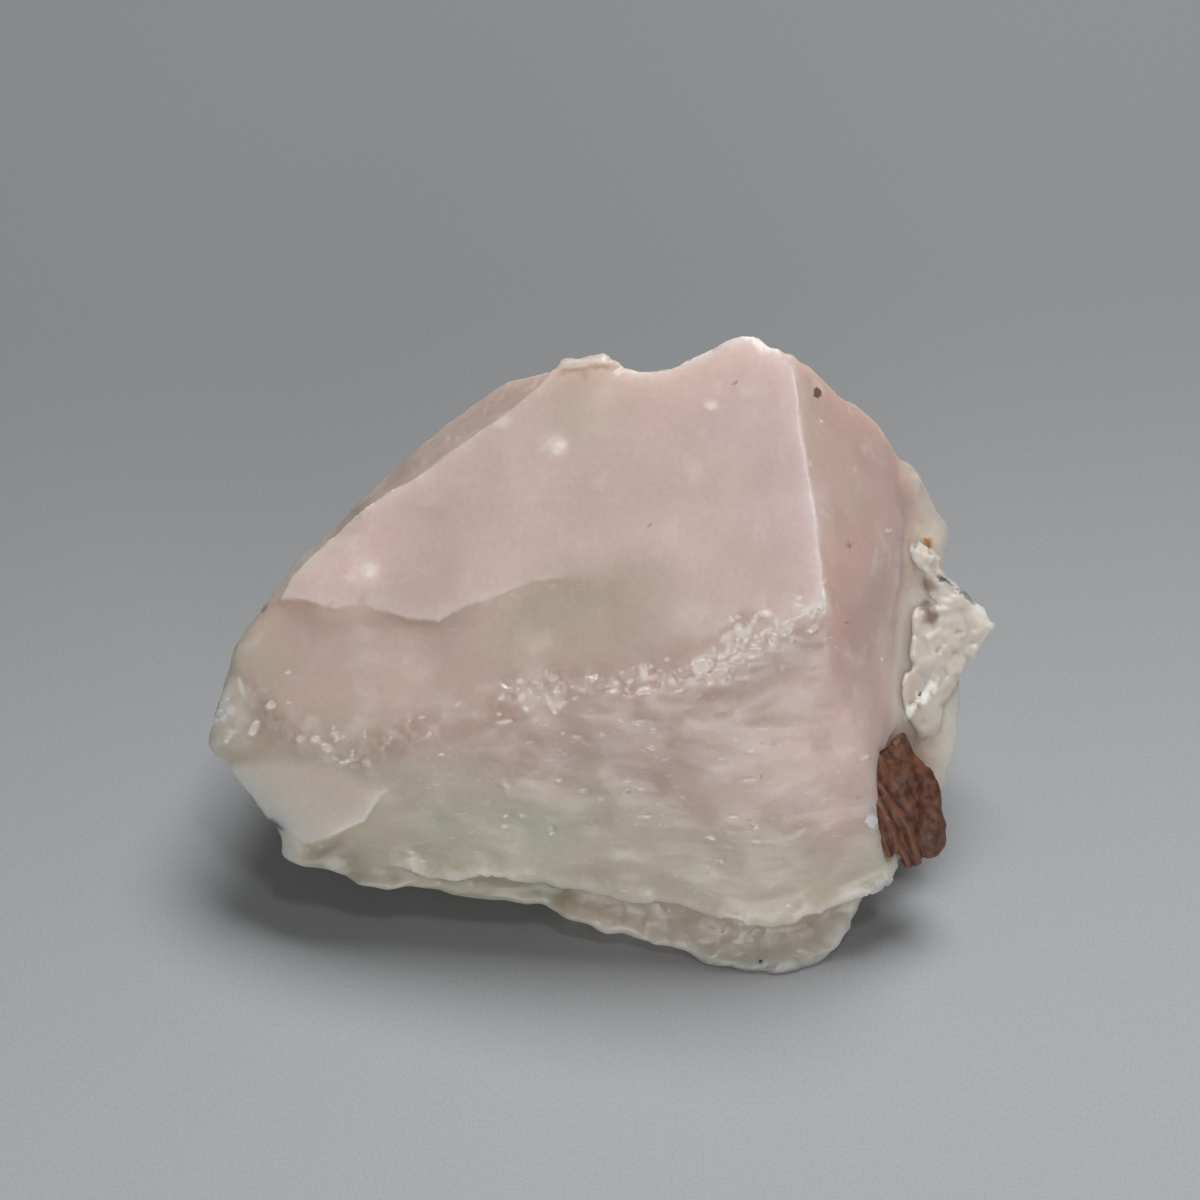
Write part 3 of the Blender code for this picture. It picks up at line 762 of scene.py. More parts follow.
class StoneSettings(bpy.types.PropertyGroup):
    """Sizes and colours of the beryl."""

    grain: length_property("Grain", "Spacing of the points of the fine surface", 0.00011)
    pale: colour_property("Pale pink", "Colour of the flat top face", (0.655, 0.515, 0.475))
    # paler, cooler pink on the right side of the top face, painted as its sheen
    lilac_sheen: colour_property("Lilac", "Cooler pink along the right side of the top face", (0.67, 0.54, 0.54))
    rose: colour_property("Rose", "Deeper pink of the right flank", (0.59, 0.41, 0.365))
    beige: colour_property("Beige", "Brownish pink below the thin plate", (0.57, 0.445, 0.39))
    green: colour_property("Green", "Pale grey green of the lower part", (0.56, 0.51, 0.41))
    mint: colour_property("Mint", "Clearest green of the lower part", (0.53, 0.54, 0.44))
    mist: colour_property("Mist", "Whitish green cloud", (0.62, 0.54, 0.47))
    blush: colour_property("Blush", "Lightest pink", (0.73, 0.57, 0.52))
    sage: colour_property("Sage", "Grey green cloud under the thin plate", (0.53, 0.46, 0.375))
    crest: colour_property("Crest", "Translucent green grey of the ledge's lumps", (0.52, 0.475, 0.42))
    glass: colour_property("Glass green", "Clearest green of the ledge on the right", (0.47, 0.45, 0.37))
    # bruised white, also painted as highlights on the rims of the flat faces, as glints in dashes on the front
    # and partly as glints along the break
    frost_and_glint: colour_property("Frost", "Bruised white", (0.80, 0.72, 0.67))
    pearl: colour_property("Pearl", "Greyish pink of the small facet", (0.76, 0.665, 0.61))
    # darker green painted as shade: on the left part of the hem below the lip, at the feet of the flat faces
    # and on the slab at the lower left
    shaded_olive: colour_property("Olive", "Darker green of the hem", (0.33, 0.305, 0.225))
    dusk: colour_property("Dusk", "Greyish pink of the foot", (0.50, 0.41, 0.35))
    # whitish beryl beside the feldspar, painted paler than it is to lift the shade of the hollow there
    cream: colour_property("Cream", "Whitish beryl beside the feldspar", (0.80, 0.65, 0.55))
    # bruised, chipped beryl; on the chips it is partly painted glints, and some marks of it are painted
    # highlights on the top face
    white: colour_property("White", "Bruised, chipped beryl", (0.90, 0.84, 0.79))
    # brown stains and specks; on the slab at the lower left the same brown is painted shade
    stain_and_shade: colour_property("Stain", "Brown stains and specks", (0.13, 0.07, 0.045))
    rust: colour_property("Rust", "Orange speck", (0.50, 0.24, 0.07))
    depth: length_property("Depth", "How far light goes into the milky stone", 0.006)
    bend: strength_property("Bend", "How strongly the stone bends light, as its IOR", 1.58)


class FeldsparSettings(bpy.types.PropertyGroup):
    """Sizes and colours of the feldspar."""

    grain: length_property("Grain", "Spacing of the points of the fine surface", 0.00009)
    white: colour_property("White", "Colour of the feldspar", (0.62, 0.575, 0.52))
    # white of fresh faces, also painted as the glints of the feldspar's bright faces
    frost_and_glint: colour_property("Frost", "Fresh bright faces", (0.93, 0.90, 0.86))
    flesh: colour_property("Flesh", "Pinkish feldspar next to the beryl", (0.54, 0.46, 0.395))
    rust: colour_property("Rust", "Orange speck", (0.50, 0.24, 0.07))
    cream: colour_property("Cream", "Yellowish feldspar near the mica", (0.60, 0.53, 0.45))
    patch: colour_property("Patch", "Brown patch", (0.17, 0.09, 0.065))
    depth: length_property("Depth", "How far light goes into the feldspar", 0.0006)
    bend: strength_property("Bend", "How strongly the feldspar bends light, as its IOR", 1.53)


class MicaSettings(bpy.types.PropertyGroup):
    """Sizes and colours of the mica."""

    grain: length_property("Grain", "Spacing of the points of the fine surface", 0.00008)
    brown: colour_property("Brown", "Colour of the leaves", (0.175, 0.072, 0.038))
    # dark brown painted as shade, mostly in the creases between the leaves
    dark: colour_property("Dark brown", "Colour between the leaves", (0.065, 0.022, 0.013))
    # lighter tan painted as highlight on the ridges of the leaves
    tan: colour_property("Tan", "Colour of the leaves' worn edges", (0.42, 0.21, 0.11))
    depth: length_property("Depth", "How far light goes into the mica", 0.0004)
    bend: strength_property("Bend", "How strongly the mica bends light, as its IOR", 1.45)


class StageSettings(bpy.types.PropertyGroup):
    """Colours and strengths of the floor and the lights."""

    floor: colour_property("Floor", "Colour of the floor", (0.42, 0.437, 0.457))
    sky: strength_property("Sky", "Strength of the even light from all round", 0.09)
    window: strength_property("Window", "Power of the large soft lamp", 1.42)
    front: strength_property("Front", "Power of the low lamp in front", 1.04)
    glint: strength_property("Glint", "Power of the small lamp", 0.08)


def over_top(points):
    """How far each point stands over the plane of the top face."""
    rise = points[:, 0] * TOP_RISE.x + points[:, 1] * TOP_RISE.y
    return (points[:, 2] - TOP_HEIGHT - rise) / math.hypot(1.0, TOP_RISE.length)


def top_face():
    """The large flat face on top."""
    rows = [((x, y, TOP_HEIGHT + TOP_RISE.x * x + TOP_RISE.y * y), softness, fall)
            for softness, fall, run in TOP_OUTLINE for x, y in run]
    return Flat(*zip(*rows))


def facet():
    """The small flat face below the left end."""
    rows = [(corner, softness, fall) for softness, fall, run in FACET_OUTLINE for corner in run]
    return Flat(*zip(*rows))


def over_lip(points):
    """How far each point is above the lip along the front."""
    line = np.interp(points[:, 0], *zip(*LIP))
    return points[:, 2] - line - 0.34 * swell(points * (1.0, 0.3, 0.0), 1.3, 43, 3)


def from_break(points):
    """How far each point is from the chipped band, which has a ragged outline."""
    away = np.minimum(distance_to_line(points, BREAK_LINE), distance_to_line(points, LEFT_BREAK))
    return away + 0.5 * swell(points, 1.3, 31, 2)


def stone_zones(points, normals):
    """How far each point belongs to the flat faces, to the front, and to the rest of the stone."""
    top_way = np.array((-TOP_RISE.x, -TOP_RISE.y, 1.0)) / math.hypot(1.0, TOP_RISE.length)
    flat = ramp(0.90, 0.97, normals @ top_way) * ramp(-1.8, -1.3, over_top(points))
    small = facet()
    inside = small.inside((points - small.middle) @ small.axes[:2].T)[0]
    flat = np.maximum(flat, ramp(-0.1, 0.2, inside) * ramp(-2.0, -3.0, points[:, 1]))
    front = ramp(0.45, 0.75, -normals[:, 1]) * (1.0 - flat)
    smooth = ramp(0.2, 0.5, normals[:, 0]) * ramp(0.0, 0.3, normals[:, 2]) * ramp(8.0, 10.0, points[:, 0])
    return flat, front, (1.0 - flat) * (1.0 - front) * (1.0 - 0.7 * smooth)


def growth_steps(points):
    """Low steps that run level across the front, each with a sharp upper rim."""
    wander = 0.35 * swell(points * (0.4, 1.0, 1.0), 1.2, 41, 2)
    steps = (points[:, 2] + 0.25 * points[:, 1] + wander) / STEP_HEIGHT % 1.0
    return steps ** 3 * ramp(1.0, 0.93, steps)


def lip_relief(points, normals):
    """The rolled lip along the front and the hollow below it, both broken at the right."""
    lip = over_lip(points)
    near_front = ramp(-6.5, -8.0, points[:, 1]) * ramp(0.1, 0.4, -normals[:, 1])
    near_front = near_front * ramp(-11.6, -9.8, points[:, 0])
    calm = 1.0 - 0.55 * ramp(0.0, 3.0, points[:, 0])
    depth = near_front * calm * LIP_RISE * ramp(-0.06, 0.06, lip) * ramp(1.3, 0.1, lip)
    depth -= near_front * calm * HOLLOW_DEPTH * ramp(0.06, -0.06, lip)
    right = ramp(1.1, 0.4, np.abs(lip)) * ramp(-1.0, 3.0, points[:, 0])
    return depth + near_front * right * flakes(points, 1.4, 0.16, seed=33)


def stone_relief(points, normals, beside):
    """The fine relief of the stone: steps and splinters on the front, chips along the broken edges."""
    flat, front, rest = stone_zones(points, normals)
    broken = ramp(0.9, 0.3, from_break(points))
    patch = ramp(-0.3, 0.5, swell(points, 3.0, 37))
    streaks = swell(points * (3.0, 0.3, 0.3), 0.8, 4, 2) * ramp(2.0, 6.0, points[:, 0])
    depth = flat * (0.02 * swell(points, 3.0, 3, 2) + 0.004 * streaks)
    depth += front * (0.012 * patch * growth_steps(points) + flakes(points, 0.6, 0.04, (2.6, 1.0, 0.6), 51))
    depth += front * 0.008 * swell(points * (0.4, 1.0, 1.3), 0.4, 5, 3)
    depth += rest * (flakes(points, 0.9, 0.12, seed=61) + 0.03 * swell(points, 0.7, 7, 3))
    depth += broken * (flakes(points, 0.8, 0.30, (1.0, 1.0, 1.2), 71) + flakes(points, 0.33, 0.20, seed=81))
    depth += lip_relief(points, normals)
    toe = ramp(2.9, 1.9, points[:, 2]) * ramp(-6.0, -8.0, points[:, 1])
    depth += toe * (0.12 * swell(points, 1.3, 27, 2) + flakes(points, 0.9, 0.14, seed=29))
    depth += PLATE_RISE * back_plate(points)[0]
    crest = ramp(15.0, 16.0, points[:, 0]) * ramp(3.0, 5.0, points[:, 1])
    depth += crest * 0.16 * swell(points, 0.9, 23, 2)
    return depth * (1.0 - 0.7 * beside) + beside * feldspar_relief(points)


def back_plate(points):
    """The thin plate on the far rim of the top face, and the dark line along its foot."""
    along = ramp(-2.6, -2.1, points[:, 0]) * ramp(1.1, 0.6, points[:, 0]) * ramp(-0.6, -0.2, over_top(points))
    across = points[:, 1] + 0.06 * points[:, 0] - 8.85 + 0.06 * swell(points, 0.7, 47, 2)
    return along * ramp(0.0, 0.08, across), along * ramp(-0.16, -0.02, across) * ramp(0.12, 0.02, across)


def feldspar_relief(points):
    """The fine relief of the feldspar: large and small flakes, softened by low lumps."""
    broken = flakes(points, 1.1, 0.07, seed=91) + flakes(points, 0.35, 0.03, seed=101)
    return broken + 0.02 * swell(points, 0.8, 9, 3)


class MORGANITE_OT_feldspar(bpy.types.Operator):
    """Make the white feldspar on the right flank"""

    bl_idname = "mesh.morganite_feldspar"
    bl_label = "White feldspar"

    def execute(self, context):
        settings = context.scene.morganite_feldspar
        draw = np.random.default_rng(5)
        surface = Surface(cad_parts["white_feldspar"].data.copy(), settings.grain / MM)
        surface.soften(MINERAL_ROUNDS, 0.5)
        surface.raise_by(FELDSPAR_RISE + feldspar_relief(surface.points))
        for chip in FELDSPAR_CHIPS:
            surface.chip(chip, glint_facing(chip[:3], 0.10, draw), 0.02)
        surface.points = np.minimum(surface.points, np.array(CAD_BOX[1]) / MM)
        made = surface.finished("feldspar_crust", MINERAL_TRIANGLES)
        keep_tint(made, feldspar_tints(points_of(made), settings))
        made.data.materials.append(feldspar_material(settings))
        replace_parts(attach(made, BODY), "white_feldspar")
        return {"FINISHED"}


def mica_leaves(points):
    """Which leaf of the mica each point is on, counted across them, and how far to the left side it is."""
    across = points @ np.array((0.92, 0.28, 0.28))
    left = ramp(14.2, 13.0, across)
    return 1.15 * across + 0.55 * swell(points, 2.4, 11, 2), left


class MORGANITE_OT_mica(bpy.types.Operator):
    """Make the grain of brown mica in its socket"""

    bl_idname = "mesh.morganite_mica"
    bl_label = "Brown mica"

    def execute(self, context):
        settings = context.scene.morganite_mica
        surface = Surface(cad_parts["brown_mica"].data.copy(), settings.grain / MM)
        surface.soften(MINERAL_ROUNDS, 0.5)
        points = surface.points
        across, left = mica_leaves(points)
        depth = (0.03 + 0.26 * left) * (np.abs(across % 1.0 - 0.5) * 2.0 - 0.5)
        depth += 0.02 * (np.abs(across * 4.0 % 1.0 - 0.5) * 2.0) + 0.07 * swell(points, 1.2, 13, 2)
        surface.raise_by(depth)
        made = surface.finished("mica_grain", MINERAL_TRIANGLES)
        across, left = mica_leaves(points_of(made))
        keep_measure(made, "fold", (0.3 + 0.7 * left) * np.abs(across % 1.0 - 0.5) * 2.0)
        made.data.materials.append(mica_material(settings))
        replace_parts(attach(made, BODY), "brown_mica")
        return {"FINISHED"}


class MORGANITE_OT_stone(bpy.types.Operator):
    """Make the beryl, closed up to the minerals that its sockets hold"""

    bl_idname = "mesh.morganite_stone"
    bl_label = "Pink and green beryl"

    def execute(self, context):
        settings = context.scene.morganite_stone
        draw = np.random.default_rng(3)
        grain = settings.grain / MM
        pieces = ("morganite_crystal", "white_feldspar", "brown_mica")
        surface = Surface.of_all(pieces, grain, SOCKET_GAP)
        surface.soften(int(STONE_SMOOTHING / grain), 0.5)
        beside = ramp(*BESIDE_RANGE, self.from_feldspar(surface.points))
        surface.fill_in(Surface.of_all(pieces[:2], QUICK_GRAIN, FELDSPAR_GAP), beside)
        surface.store()
        surface = Surface(surface.mesh, grain)
        beside = ramp(*BESIDE_RANGE, self.from_feldspar(surface.points))
        surface.relax(int(BESIDE_SMOOTHING / grain), 0.5 * beside)
        for middle, reach, shift in SHIFTS:
            share = ramp(reach, 0.0, np.linalg.norm(surface.points - middle, axis=1))
            surface.points += share[:, None] * np.array(shift)
        top_face().press(surface, 1.0, 0.06)
        facet().press(surface, 0.8, 0.03)
        surface.raise_by(stone_relief(surface.points, surface.normals(), beside))
        chips = [surface.chip(chip, glint_facing(chip[:3], 0.05, draw)) for chip in CHIPS]
        for spot, count, reach, size, slimness in CHIP_FIELDS:
            chips += self.scatter(surface, draw, np.array(spot), count, reach, size, slimness)
        chips = [chip for chip in chips if chip is not None]
        for name, depth in SUNK:
            self.sink_under(surface, name, depth)
        surface.points = np.clip(surface.points, *(np.array(corner) / MM for corner in CAD_BOX))
        made = surface.finished("beryl", STONE_TRIANGLES)
        self.measure(made, settings, chips)
        made.data.materials.append(stone_material(settings))
        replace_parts(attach(made, BODY), "morganite_crystal")
        return {"FINISHED"}

    def scatter(self, surface, draw, spot, count, reach, size, slimness):
        """Presses a number of random chips into the surface around a spot."""
        away = np.linalg.norm(surface.points - spot, axis=1)
        facing = surface.normals()
        fit = np.flatnonzero((away < np.array(reach).max()) & (facing @ GLINT_HALF > 0.35))
        spots = surface.points[fit] - spot
        fit = fit[(np.abs(spots) < np.array(reach)).all(axis=1)]
        chips = []
        for middle in surface.points[draw.choice(fit, count)]:
            length = size * draw.uniform(0.5, 1.5)
            chip = (*middle, length, length * slimness * draw.uniform(0.6, 1.6), draw.normal(10.0, 30.0))
            chips.append(surface.chip(chip, glint_facing(middle, 0.16, draw), 0.02))
        return chips

    def from_feldspar(self, points):
        """How far each point is from the feldspar, up to the farthest that counts."""
        mineral = bpy.data.objects["feldspar_crust"]
        close = self.around_piece(points, mineral, FELDSPAR_REACH)
        distance = np.full(len(points), FELDSPAR_REACH)
        distance[close] = distances_to(points[close], tree_of(mineral), FELDSPAR_REACH)[0]
        return distance

    def around_piece(self, points, piece, reach):
        """The points in a piece's box, which is wider by a reach on each side."""
        box = points_of(piece)
        inside = (points > box.min(axis=0) - reach) & (points < box.max(axis=0) + reach)
        return np.flatnonzero(inside.all(axis=1))

    def sink_under(self, surface, name, depth):
        """Sinks the stone below the face of a mineral that it holds."""
        mineral = bpy.data.objects[name]
        close = self.around_piece(surface.points, mineral, SUNK_REACH)
        distance = distances_to(surface.points[close], tree_of(mineral), SUNK_REACH)[0]
        sunk = depth * ramp(*SUNK_RANGE, distance)
        surface.points[close] -= surface.normals()[close] * sunk[:, None]

    def measure(self, made, settings, chips):
        """Keeps the tint and the wear of each point for the material."""
        points = points_of(made)
        from_feldspar = self.from_feldspar(points) / FELDSPAR_REACH
        measures = {"from_feldspar": from_feldspar, "chipped": np.zeros(len(points))}
        for middle, axes in chips:
            close = np.flatnonzero(np.abs(points - middle).max(axis=1) < 1.0)
            away = (points[close] - middle) @ axes.T
            share = ramp(1.25, 0.85, np.hypot(away[:, 0], away[:, 1])) * ramp(0.3, 0.15, np.abs(away[:, 2]))
            measures["chipped"][close] = np.maximum(measures["chipped"][close], share)
        measures["broken"] = ramp(1.4, 0.3, from_break(points))
        for name, flat in (("plate", top_face()), ("facet", facet())):
            height = (points - flat.middle) @ flat.axes[2]
            inside, softness, _ = flat.inside((points - flat.middle) @ flat.axes[:2].T)
            softness = np.maximum(softness, 0.12)
            measures[name] = ramp(-softness, softness, inside) * ramp(0.9, 0.5, np.abs(height))
            # masks for a painted highlight along the rim of each flat face, and for painted shade along its
            # foot
            crisp = ramp(0.5, 0.1, softness) * ramp(0.9, 0.5, np.abs(height))
            measures[name + "_rim"] = crisp * ramp(-0.02, 0.05, inside) * ramp(0.35, 0.05, inside)
            measures[name + "_foot_shade"] = crisp * ramp(0.02, -0.05, inside) * ramp(-0.45, -0.1, inside)
        facing = triples(made.data.vertex_normals, "vector")
        measures["front"] = ramp(0.3, 0.7, -facing[:, 1]) * ramp(0.9, 0.6, measures["plate"])
        for name in ("chipped", "broken", "front"):
            keep_measure(made, name, measures[name])
        keep_tint(made, beryl_tints(points, measures, settings))


# Soft clouds of colour in the stone: the colour, the middle, how far it is full, how far it fades from there,
# and its strength
CLOUDS = (
    # on the top face
    ("sage", (-0.8, 7.2, 20.8), 0.6, 3.4, 0.55),
    ("mist", (-4.5, 6.2, 19.5), 0.2, 1.3, 0.6),
    ("beige", (-12.3, 1.9, 15.9), 0.2, 1.0, 0.6),
    ("beige", (-9.0, 3.8, 17.7), 0.5, 1.8, 0.6),
    ("blush", (-4.5, -0.5, 16.8), 0.8, 4.0, 0.6),
    ("blush", (3.5, -0.5, 18.6), 0.8, 4.0, 0.4),
    ("blush", (-12.5, -0.2, 14.9), 0.8, 2.6, 0.8),
    # painted sheen on the right side of the top face
    ("lilac_sheen", (9.0, -0.6, 20.0), 0.6, 2.4, 0.8),
    ("lilac_sheen", (7.5, 4.5, 21.6), 0.6, 3.0, 0.5),
    ("green", (4.9, 2.8, 20.3), 0.1, 0.6, 0.4),
    ("sage", (-3.0, -3.3, 15.6), 1.2, 3.2, 0.8),
    ("sage", (1.0, -3.4, 16.7), 0.8, 2.6, 0.55),
    ("mist", (3.5, -5.0, 16.7), 0.5, 2.4, 0.4),
    # on the left end and the front
    ("blush", (-11.0, -4.0, 13.2), 0.6, 3.0, 0.35),
    ("beige", (-16.5, -4.8, 10.8), 1.4, 3.0, 0.5),
    ("blush", (10.2, -8.4, 11.6), 1.4, 4.2, 0.95),
    ("rose", (12.0, -6.9, 13.6), 0.6, 3.0, 0.5),
    ("rose", (3.0, -8.4, 12.6), 0.6, 3.2, 0.3),
    ("mint", (-3.5, -9.9, 7.2), 0.6, 2.6, 0.6),
    ("mint", (-8.0, -9.6, 6.0), 0.6, 2.6, 0.5),
    # on the right flank
    ("blush", (14.6, 1.0, 13.4), 0.8, 2.4, 0.6),
    ("blush", (14.4, -3.0, 11.2), 0.8, 2.4, 0.6),
    ("glass", (18.6, -2.4, 6.6), 1.6, 2.0, 0.9),
    ("glass", (17.6, -5.2, 4.6), 1.0, 1.6, 0.8),
    ("sage", (12.0, 2.4, 19.6), 0.3, 1.8, 0.5),
    ("rose", (13.6, 1.8, 17.4), 0.5, 2.4, 0.4),
    ("beige", (12.2, -6.6, 13.6), 0.6, 2.6, 0.4),
    # bruises along the break, whitened partly as painted glints of its chips
    ("frost_and_glint", (7.3, -5.6, 16.9), 0.8, 1.2, 0.45),
    ("frost_and_glint", (5.6, -6.7, 15.4), 0.5, 1.0, 0.45),
    ("frost_and_glint", (9.8, -5.2, 17.6), 0.5, 0.9, 0.40),
    ("frost_and_glint", (1.9, -6.8, 15.2), 0.2, 0.7, 0.35),
    ("frost_and_glint", (-3.4, -6.7, 13.8), 0.6, 1.1, 0.35),
    ("frost_and_glint", (-5.0, -7.7, 12.7), 0.2, 0.5, 0.40),
    ("frost_and_glint", (-19.5, -4.9, 9.2), 0.8, 1.2, 0.55),
    ("frost_and_glint", (-18.7, -3.6, 10.8), 0.5, 0.9, 0.60),
    # painted shade on the slab at the lower left, under the overhang
    ("shaded_olive", (-13.5, -10.2, 3.2), 1.0, 2.2, 0.75),
    ("stain_and_shade", (-13.8, -10.0, 3.2), 0.8, 2.6, 0.3),
    # more bruises
    ("frost_and_glint", (-13.1, -7.4, 10.3), 0.3, 1.0, 0.40),
    ("frost_and_glint", (-15.8, -4.9, 11.4), 0.2, 0.8, 0.30),
    ("frost_and_glint", (-15.5, -9.5, 5.5), 0.2, 0.6, 0.50),
    ("frost_and_glint", (13.0, -11.0, 2.9), 0.4, 1.4, 0.50),
)

# Small sharp marks in the same way
MARKS = (
    # the first four white marks and the white mark at x 5.4 are painted highlights: the small bright sheen
    # spots on the top face
    ("white", (-2.3, 5.1, 19.6), 0.05, 0.55, 0.9),
    ("white", (-2.6, 5.2, 19.5), 0.10, 0.90, 0.4),
    ("white", (-11.9, 0.3, 15.3), 0.05, 0.55, 0.9),
    ("white", (-12.3, 0.3, 15.2), 0.10, 1.20, 0.4),
    ("white", (-5.2, 6.9, 19.7), 0.05, 0.60, 0.35),
    ("white", (-13.0, 0.1, 15.0), 0.05, 0.45, 0.4),
    ("white", (5.4, 5.8, 21.7), 0.05, 0.40, 0.7),
    ("white", (7.3, 9.2, 23.5), 0.12, 0.2, 0.8),
    ("stain_and_shade", (6.6, 6.7, 22.3), 0.07, 0.10, 0.4),
    ("stain_and_shade", (2.2, 0.2, 18.6), 0.05, 0.08, 0.35),
    ("stain_and_shade", (10.8, 6.6, 21.8), 0.20, 0.12, 0.9),
    ("stain_and_shade", (12.0, -4.5, 16.4), 0.06, 0.06, 0.6),
    ("stain_and_shade", (12.2, -0.8, 18.2), 0.12, 0.14, 0.5),
    ("stain_and_shade", (-10.7, 8.0, 15.0), 0.3, 1.4, 0.25),
    ("stain_and_shade", (-13.4, 5.8, 13.8), 0.4, 1.6, 0.3),
    ("stain_and_shade", (-17.7, 0.8, 12.1), 0.15, 0.2, 0.7),
    ("rust", (17.1, 5.7, 12.1), 0.22, 0.22, 0.9),
    ("stain_and_shade", (17.1, 5.7, 12.1), 0.06, 0.08, 0.8),
    ("white", (13.5, -9.6, 7.3), 0.28, 0.18, 0.9),
    ("rust", (12.8, -10.9, 2.8), 0.04, 0.06, 0.9),
)

# The feldspar's own marks: the brown patch, the orange speck, the pale blade, and the bright faces, whose
# glints are painted
FELDSPAR_MARKS = (
    ("frost_and_glint", (16.3, 4.6, 12.8), 0.20, 0.30, 0.5),
    ("frost_and_glint", (16.7, 4.3, 12.3), 0.20, 0.30, 0.5),
    ("frost_and_glint", (17.1, 4.0, 11.8), 0.15, 0.30, 0.4),
    ("patch", (17.2, 3.6, 11.0), 0.15, 0.5, 0.6),
    ("patch", (17.0, 2.2, 10.8), 0.15, 0.4, 0.8),
    ("patch", (17.1, 1.6, 10.5), 0.20, 0.4, 0.8),
    ("rust", (17.1, 5.7, 12.1), 0.20, 0.22, 0.9),
    # painted glints of the bright faces
    ("frost_and_glint", (16.6, -2.2, 8.6), 0.30, 0.25, 0.9),
    ("frost_and_glint", (17.1, -1.6, 8.7), 0.15, 0.25, 0.8),
    ("frost_and_glint", (15.8, -3.4, 8.7), 0.25, 0.25, 0.8),
    ("frost_and_glint", (19.9, 2.3, 10.0), 0.30, 0.60, 0.4),
)


# How much paler the stone is painted than the feldspar that thins out over it: painted light, which lifts the
# shade round the feldspar
CRUSTED_PAINTED_LIGHT = (1.22, 1.12, 1.05)


def blend(colours, share, colour):
    """Lays one colour over the colours of all points, each by its own share."""
    share = np.clip(share, 0.0, 1.0)[:, None]
    return colours * (1.0 - share) + np.array(colour) * share


def beryl_tints(points, measures, settings):
    """The colour of the beryl at each point."""
    wide = swell(points, 5.0, 111, 2)
    veil = swell(points, 1.6, 113, 3)
    colours = ground_tints(points, measures, settings, wide, veil)
    colours = edge_tints(colours, points, measures, settings, veil)
    colours = worn_tints(colours, points, measures, settings, veil)
    return colours * (1.0 + 0.05 * wide + 0.05 * veil)[:, None]


def ground_tints(points, measures, settings, wide, veil):
    """Pink above, green below, with soft clouds, among them painted sheen, painted glints and painted shade.
    """
    x, _, z = points.T
    drift = np.stack([swell(points, 2.4, 120 + 7 * axis, 3) for axis in range(3)], axis=1)
    plate = measures["plate"]
    colours = np.tile(np.array(settings.beige), (len(points), 1))
    colours = blend(colours, plate, settings.pale)
    # painted sheen: cooler pink towards the right side of the top face
    colours = blend(colours, plate * ramp(6.0, 11.0, x + 1.5 * wide), settings.lilac_sheen)
    colours = blend(colours, ramp(10.4, 11.6, x) * (0.85 + 0.4 * veil), settings.rose)
    colours = blend(colours, 0.9 * ramp(10.6, 6.6, z + 0.22 * x + 1.6 * wide + 0.5 * veil), settings.green)
    colours = blend(colours, 0.9 * ramp(15.2, 16.8, x + 0.5 * veil), settings.crest)
    spots = points + 1.1 * drift
    for name, middle, reach, fade, strength in CLOUDS:
        share = ramp(reach + fade, reach, np.linalg.norm(spots - middle, axis=1))
        colours = blend(colours, strength * share, getattr(settings, name))
    return colours


def edge_tints(colours, points, measures, settings, veil):
    """The small facet; the whitish stone beside the feldspar, painted paler as light; a painted highlight on
    the rims of the flat faces and painted shade at their feet; and the hem, with painted shade on its left
    part.
    """
    x, y, z = points.T
    colours = blend(colours, 0.8 * measures["facet"], settings.pearl)
    close = measures["from_feldspar"] + 0.1 * veil
    # whitish beryl beside the feldspar, partly painted light that lifts the shade of the hollow there
    colours = blend(colours, 0.95 * ramp(0.85, 0.1, close + 0.30 * ramp(10.0, 13.0, z)), settings.cream)
    for name in ("plate", "facet"):
        # painted highlight on the near rims of the flat faces, and painted shade in dark green at their feet
        near_side = 0.3 * ramp(1.0, 0.0, y) * ramp(9.0, 7.0, x)
        colours = blend(colours, measures[name + "_rim"] * near_side, settings.frost_and_glint)
        colours = blend(colours, 0.22 * measures[name + "_foot_shade"] * ramp(9.0, 7.0, x), settings.shaded_olive)
    lip = over_lip(points)
    near_front = ramp(-6.5, -8.0, y) * ramp(-12.2, -9.8, x)
    # the hem below the lip: darker green painted as shade on its left part, and greyish pink on its right
    hem = near_front * ramp(0.12, -0.12, lip)
    colours = blend(colours, 0.85 * hem * ramp(2.0, -2.0, x), settings.shaded_olive)
    colours = blend(colours, 0.9 * hem * ramp(-3.0, 1.0, x) * (0.9 + 0.4 * veil), settings.dusk)
    return blend(colours, 0.4 * near_front * ramp(-0.05, 0.1, lip) * ramp(0.8, 0.1, lip), settings.mist)


def worn_tints(colours, points, measures, settings, veil):
    """Wisps and bruises, the feldspar that thins out over the stone with painted light under it, the chips
    whitened partly as painted glints, and the plate on the rim.
    """
    x, _, z = points.T
    wisps = swell(points * (0.6, 1.0, 1.2), 0.9, 131, 3)
    colours = blend(colours, 0.30 * ramp(0.35, 0.9, wisps), settings.frost_and_glint)
    bruised = measures["broken"] * ramp(0.1, 0.7, swell(points, 0.5, 137, 2))
    colours = blend(colours, 0.30 * bruised, settings.frost_and_glint)
    crusted = measures["from_feldspar"] < 0.3
    # the feldspar's colours, made paler by painted light
    own = feldspar_tints(points[crusted], bpy.context.scene.morganite_feldspar) * CRUSTED_PAINTED_LIGHT
    share = ramp(0.28, 0.10, measures["from_feldspar"][crusted] + 0.04 * veil[crusted])[:, None]
    colours[crusted] = colours[crusted] * (1.0 - share) + own * share
    # the chips are whitened, partly as painted glints, most above the front
    high = ramp(12.6, 13.4, z + 0.3 * np.abs(x))
    colours = blend(colours, measures["chipped"] * (0.30 + 0.35 * high), settings.white)
    plate, line = back_plate(points)
    colours = blend(colours, 0.5 * plate, settings.mist)
    return blend(colours, 0.35 * line, settings.stain_and_shade)


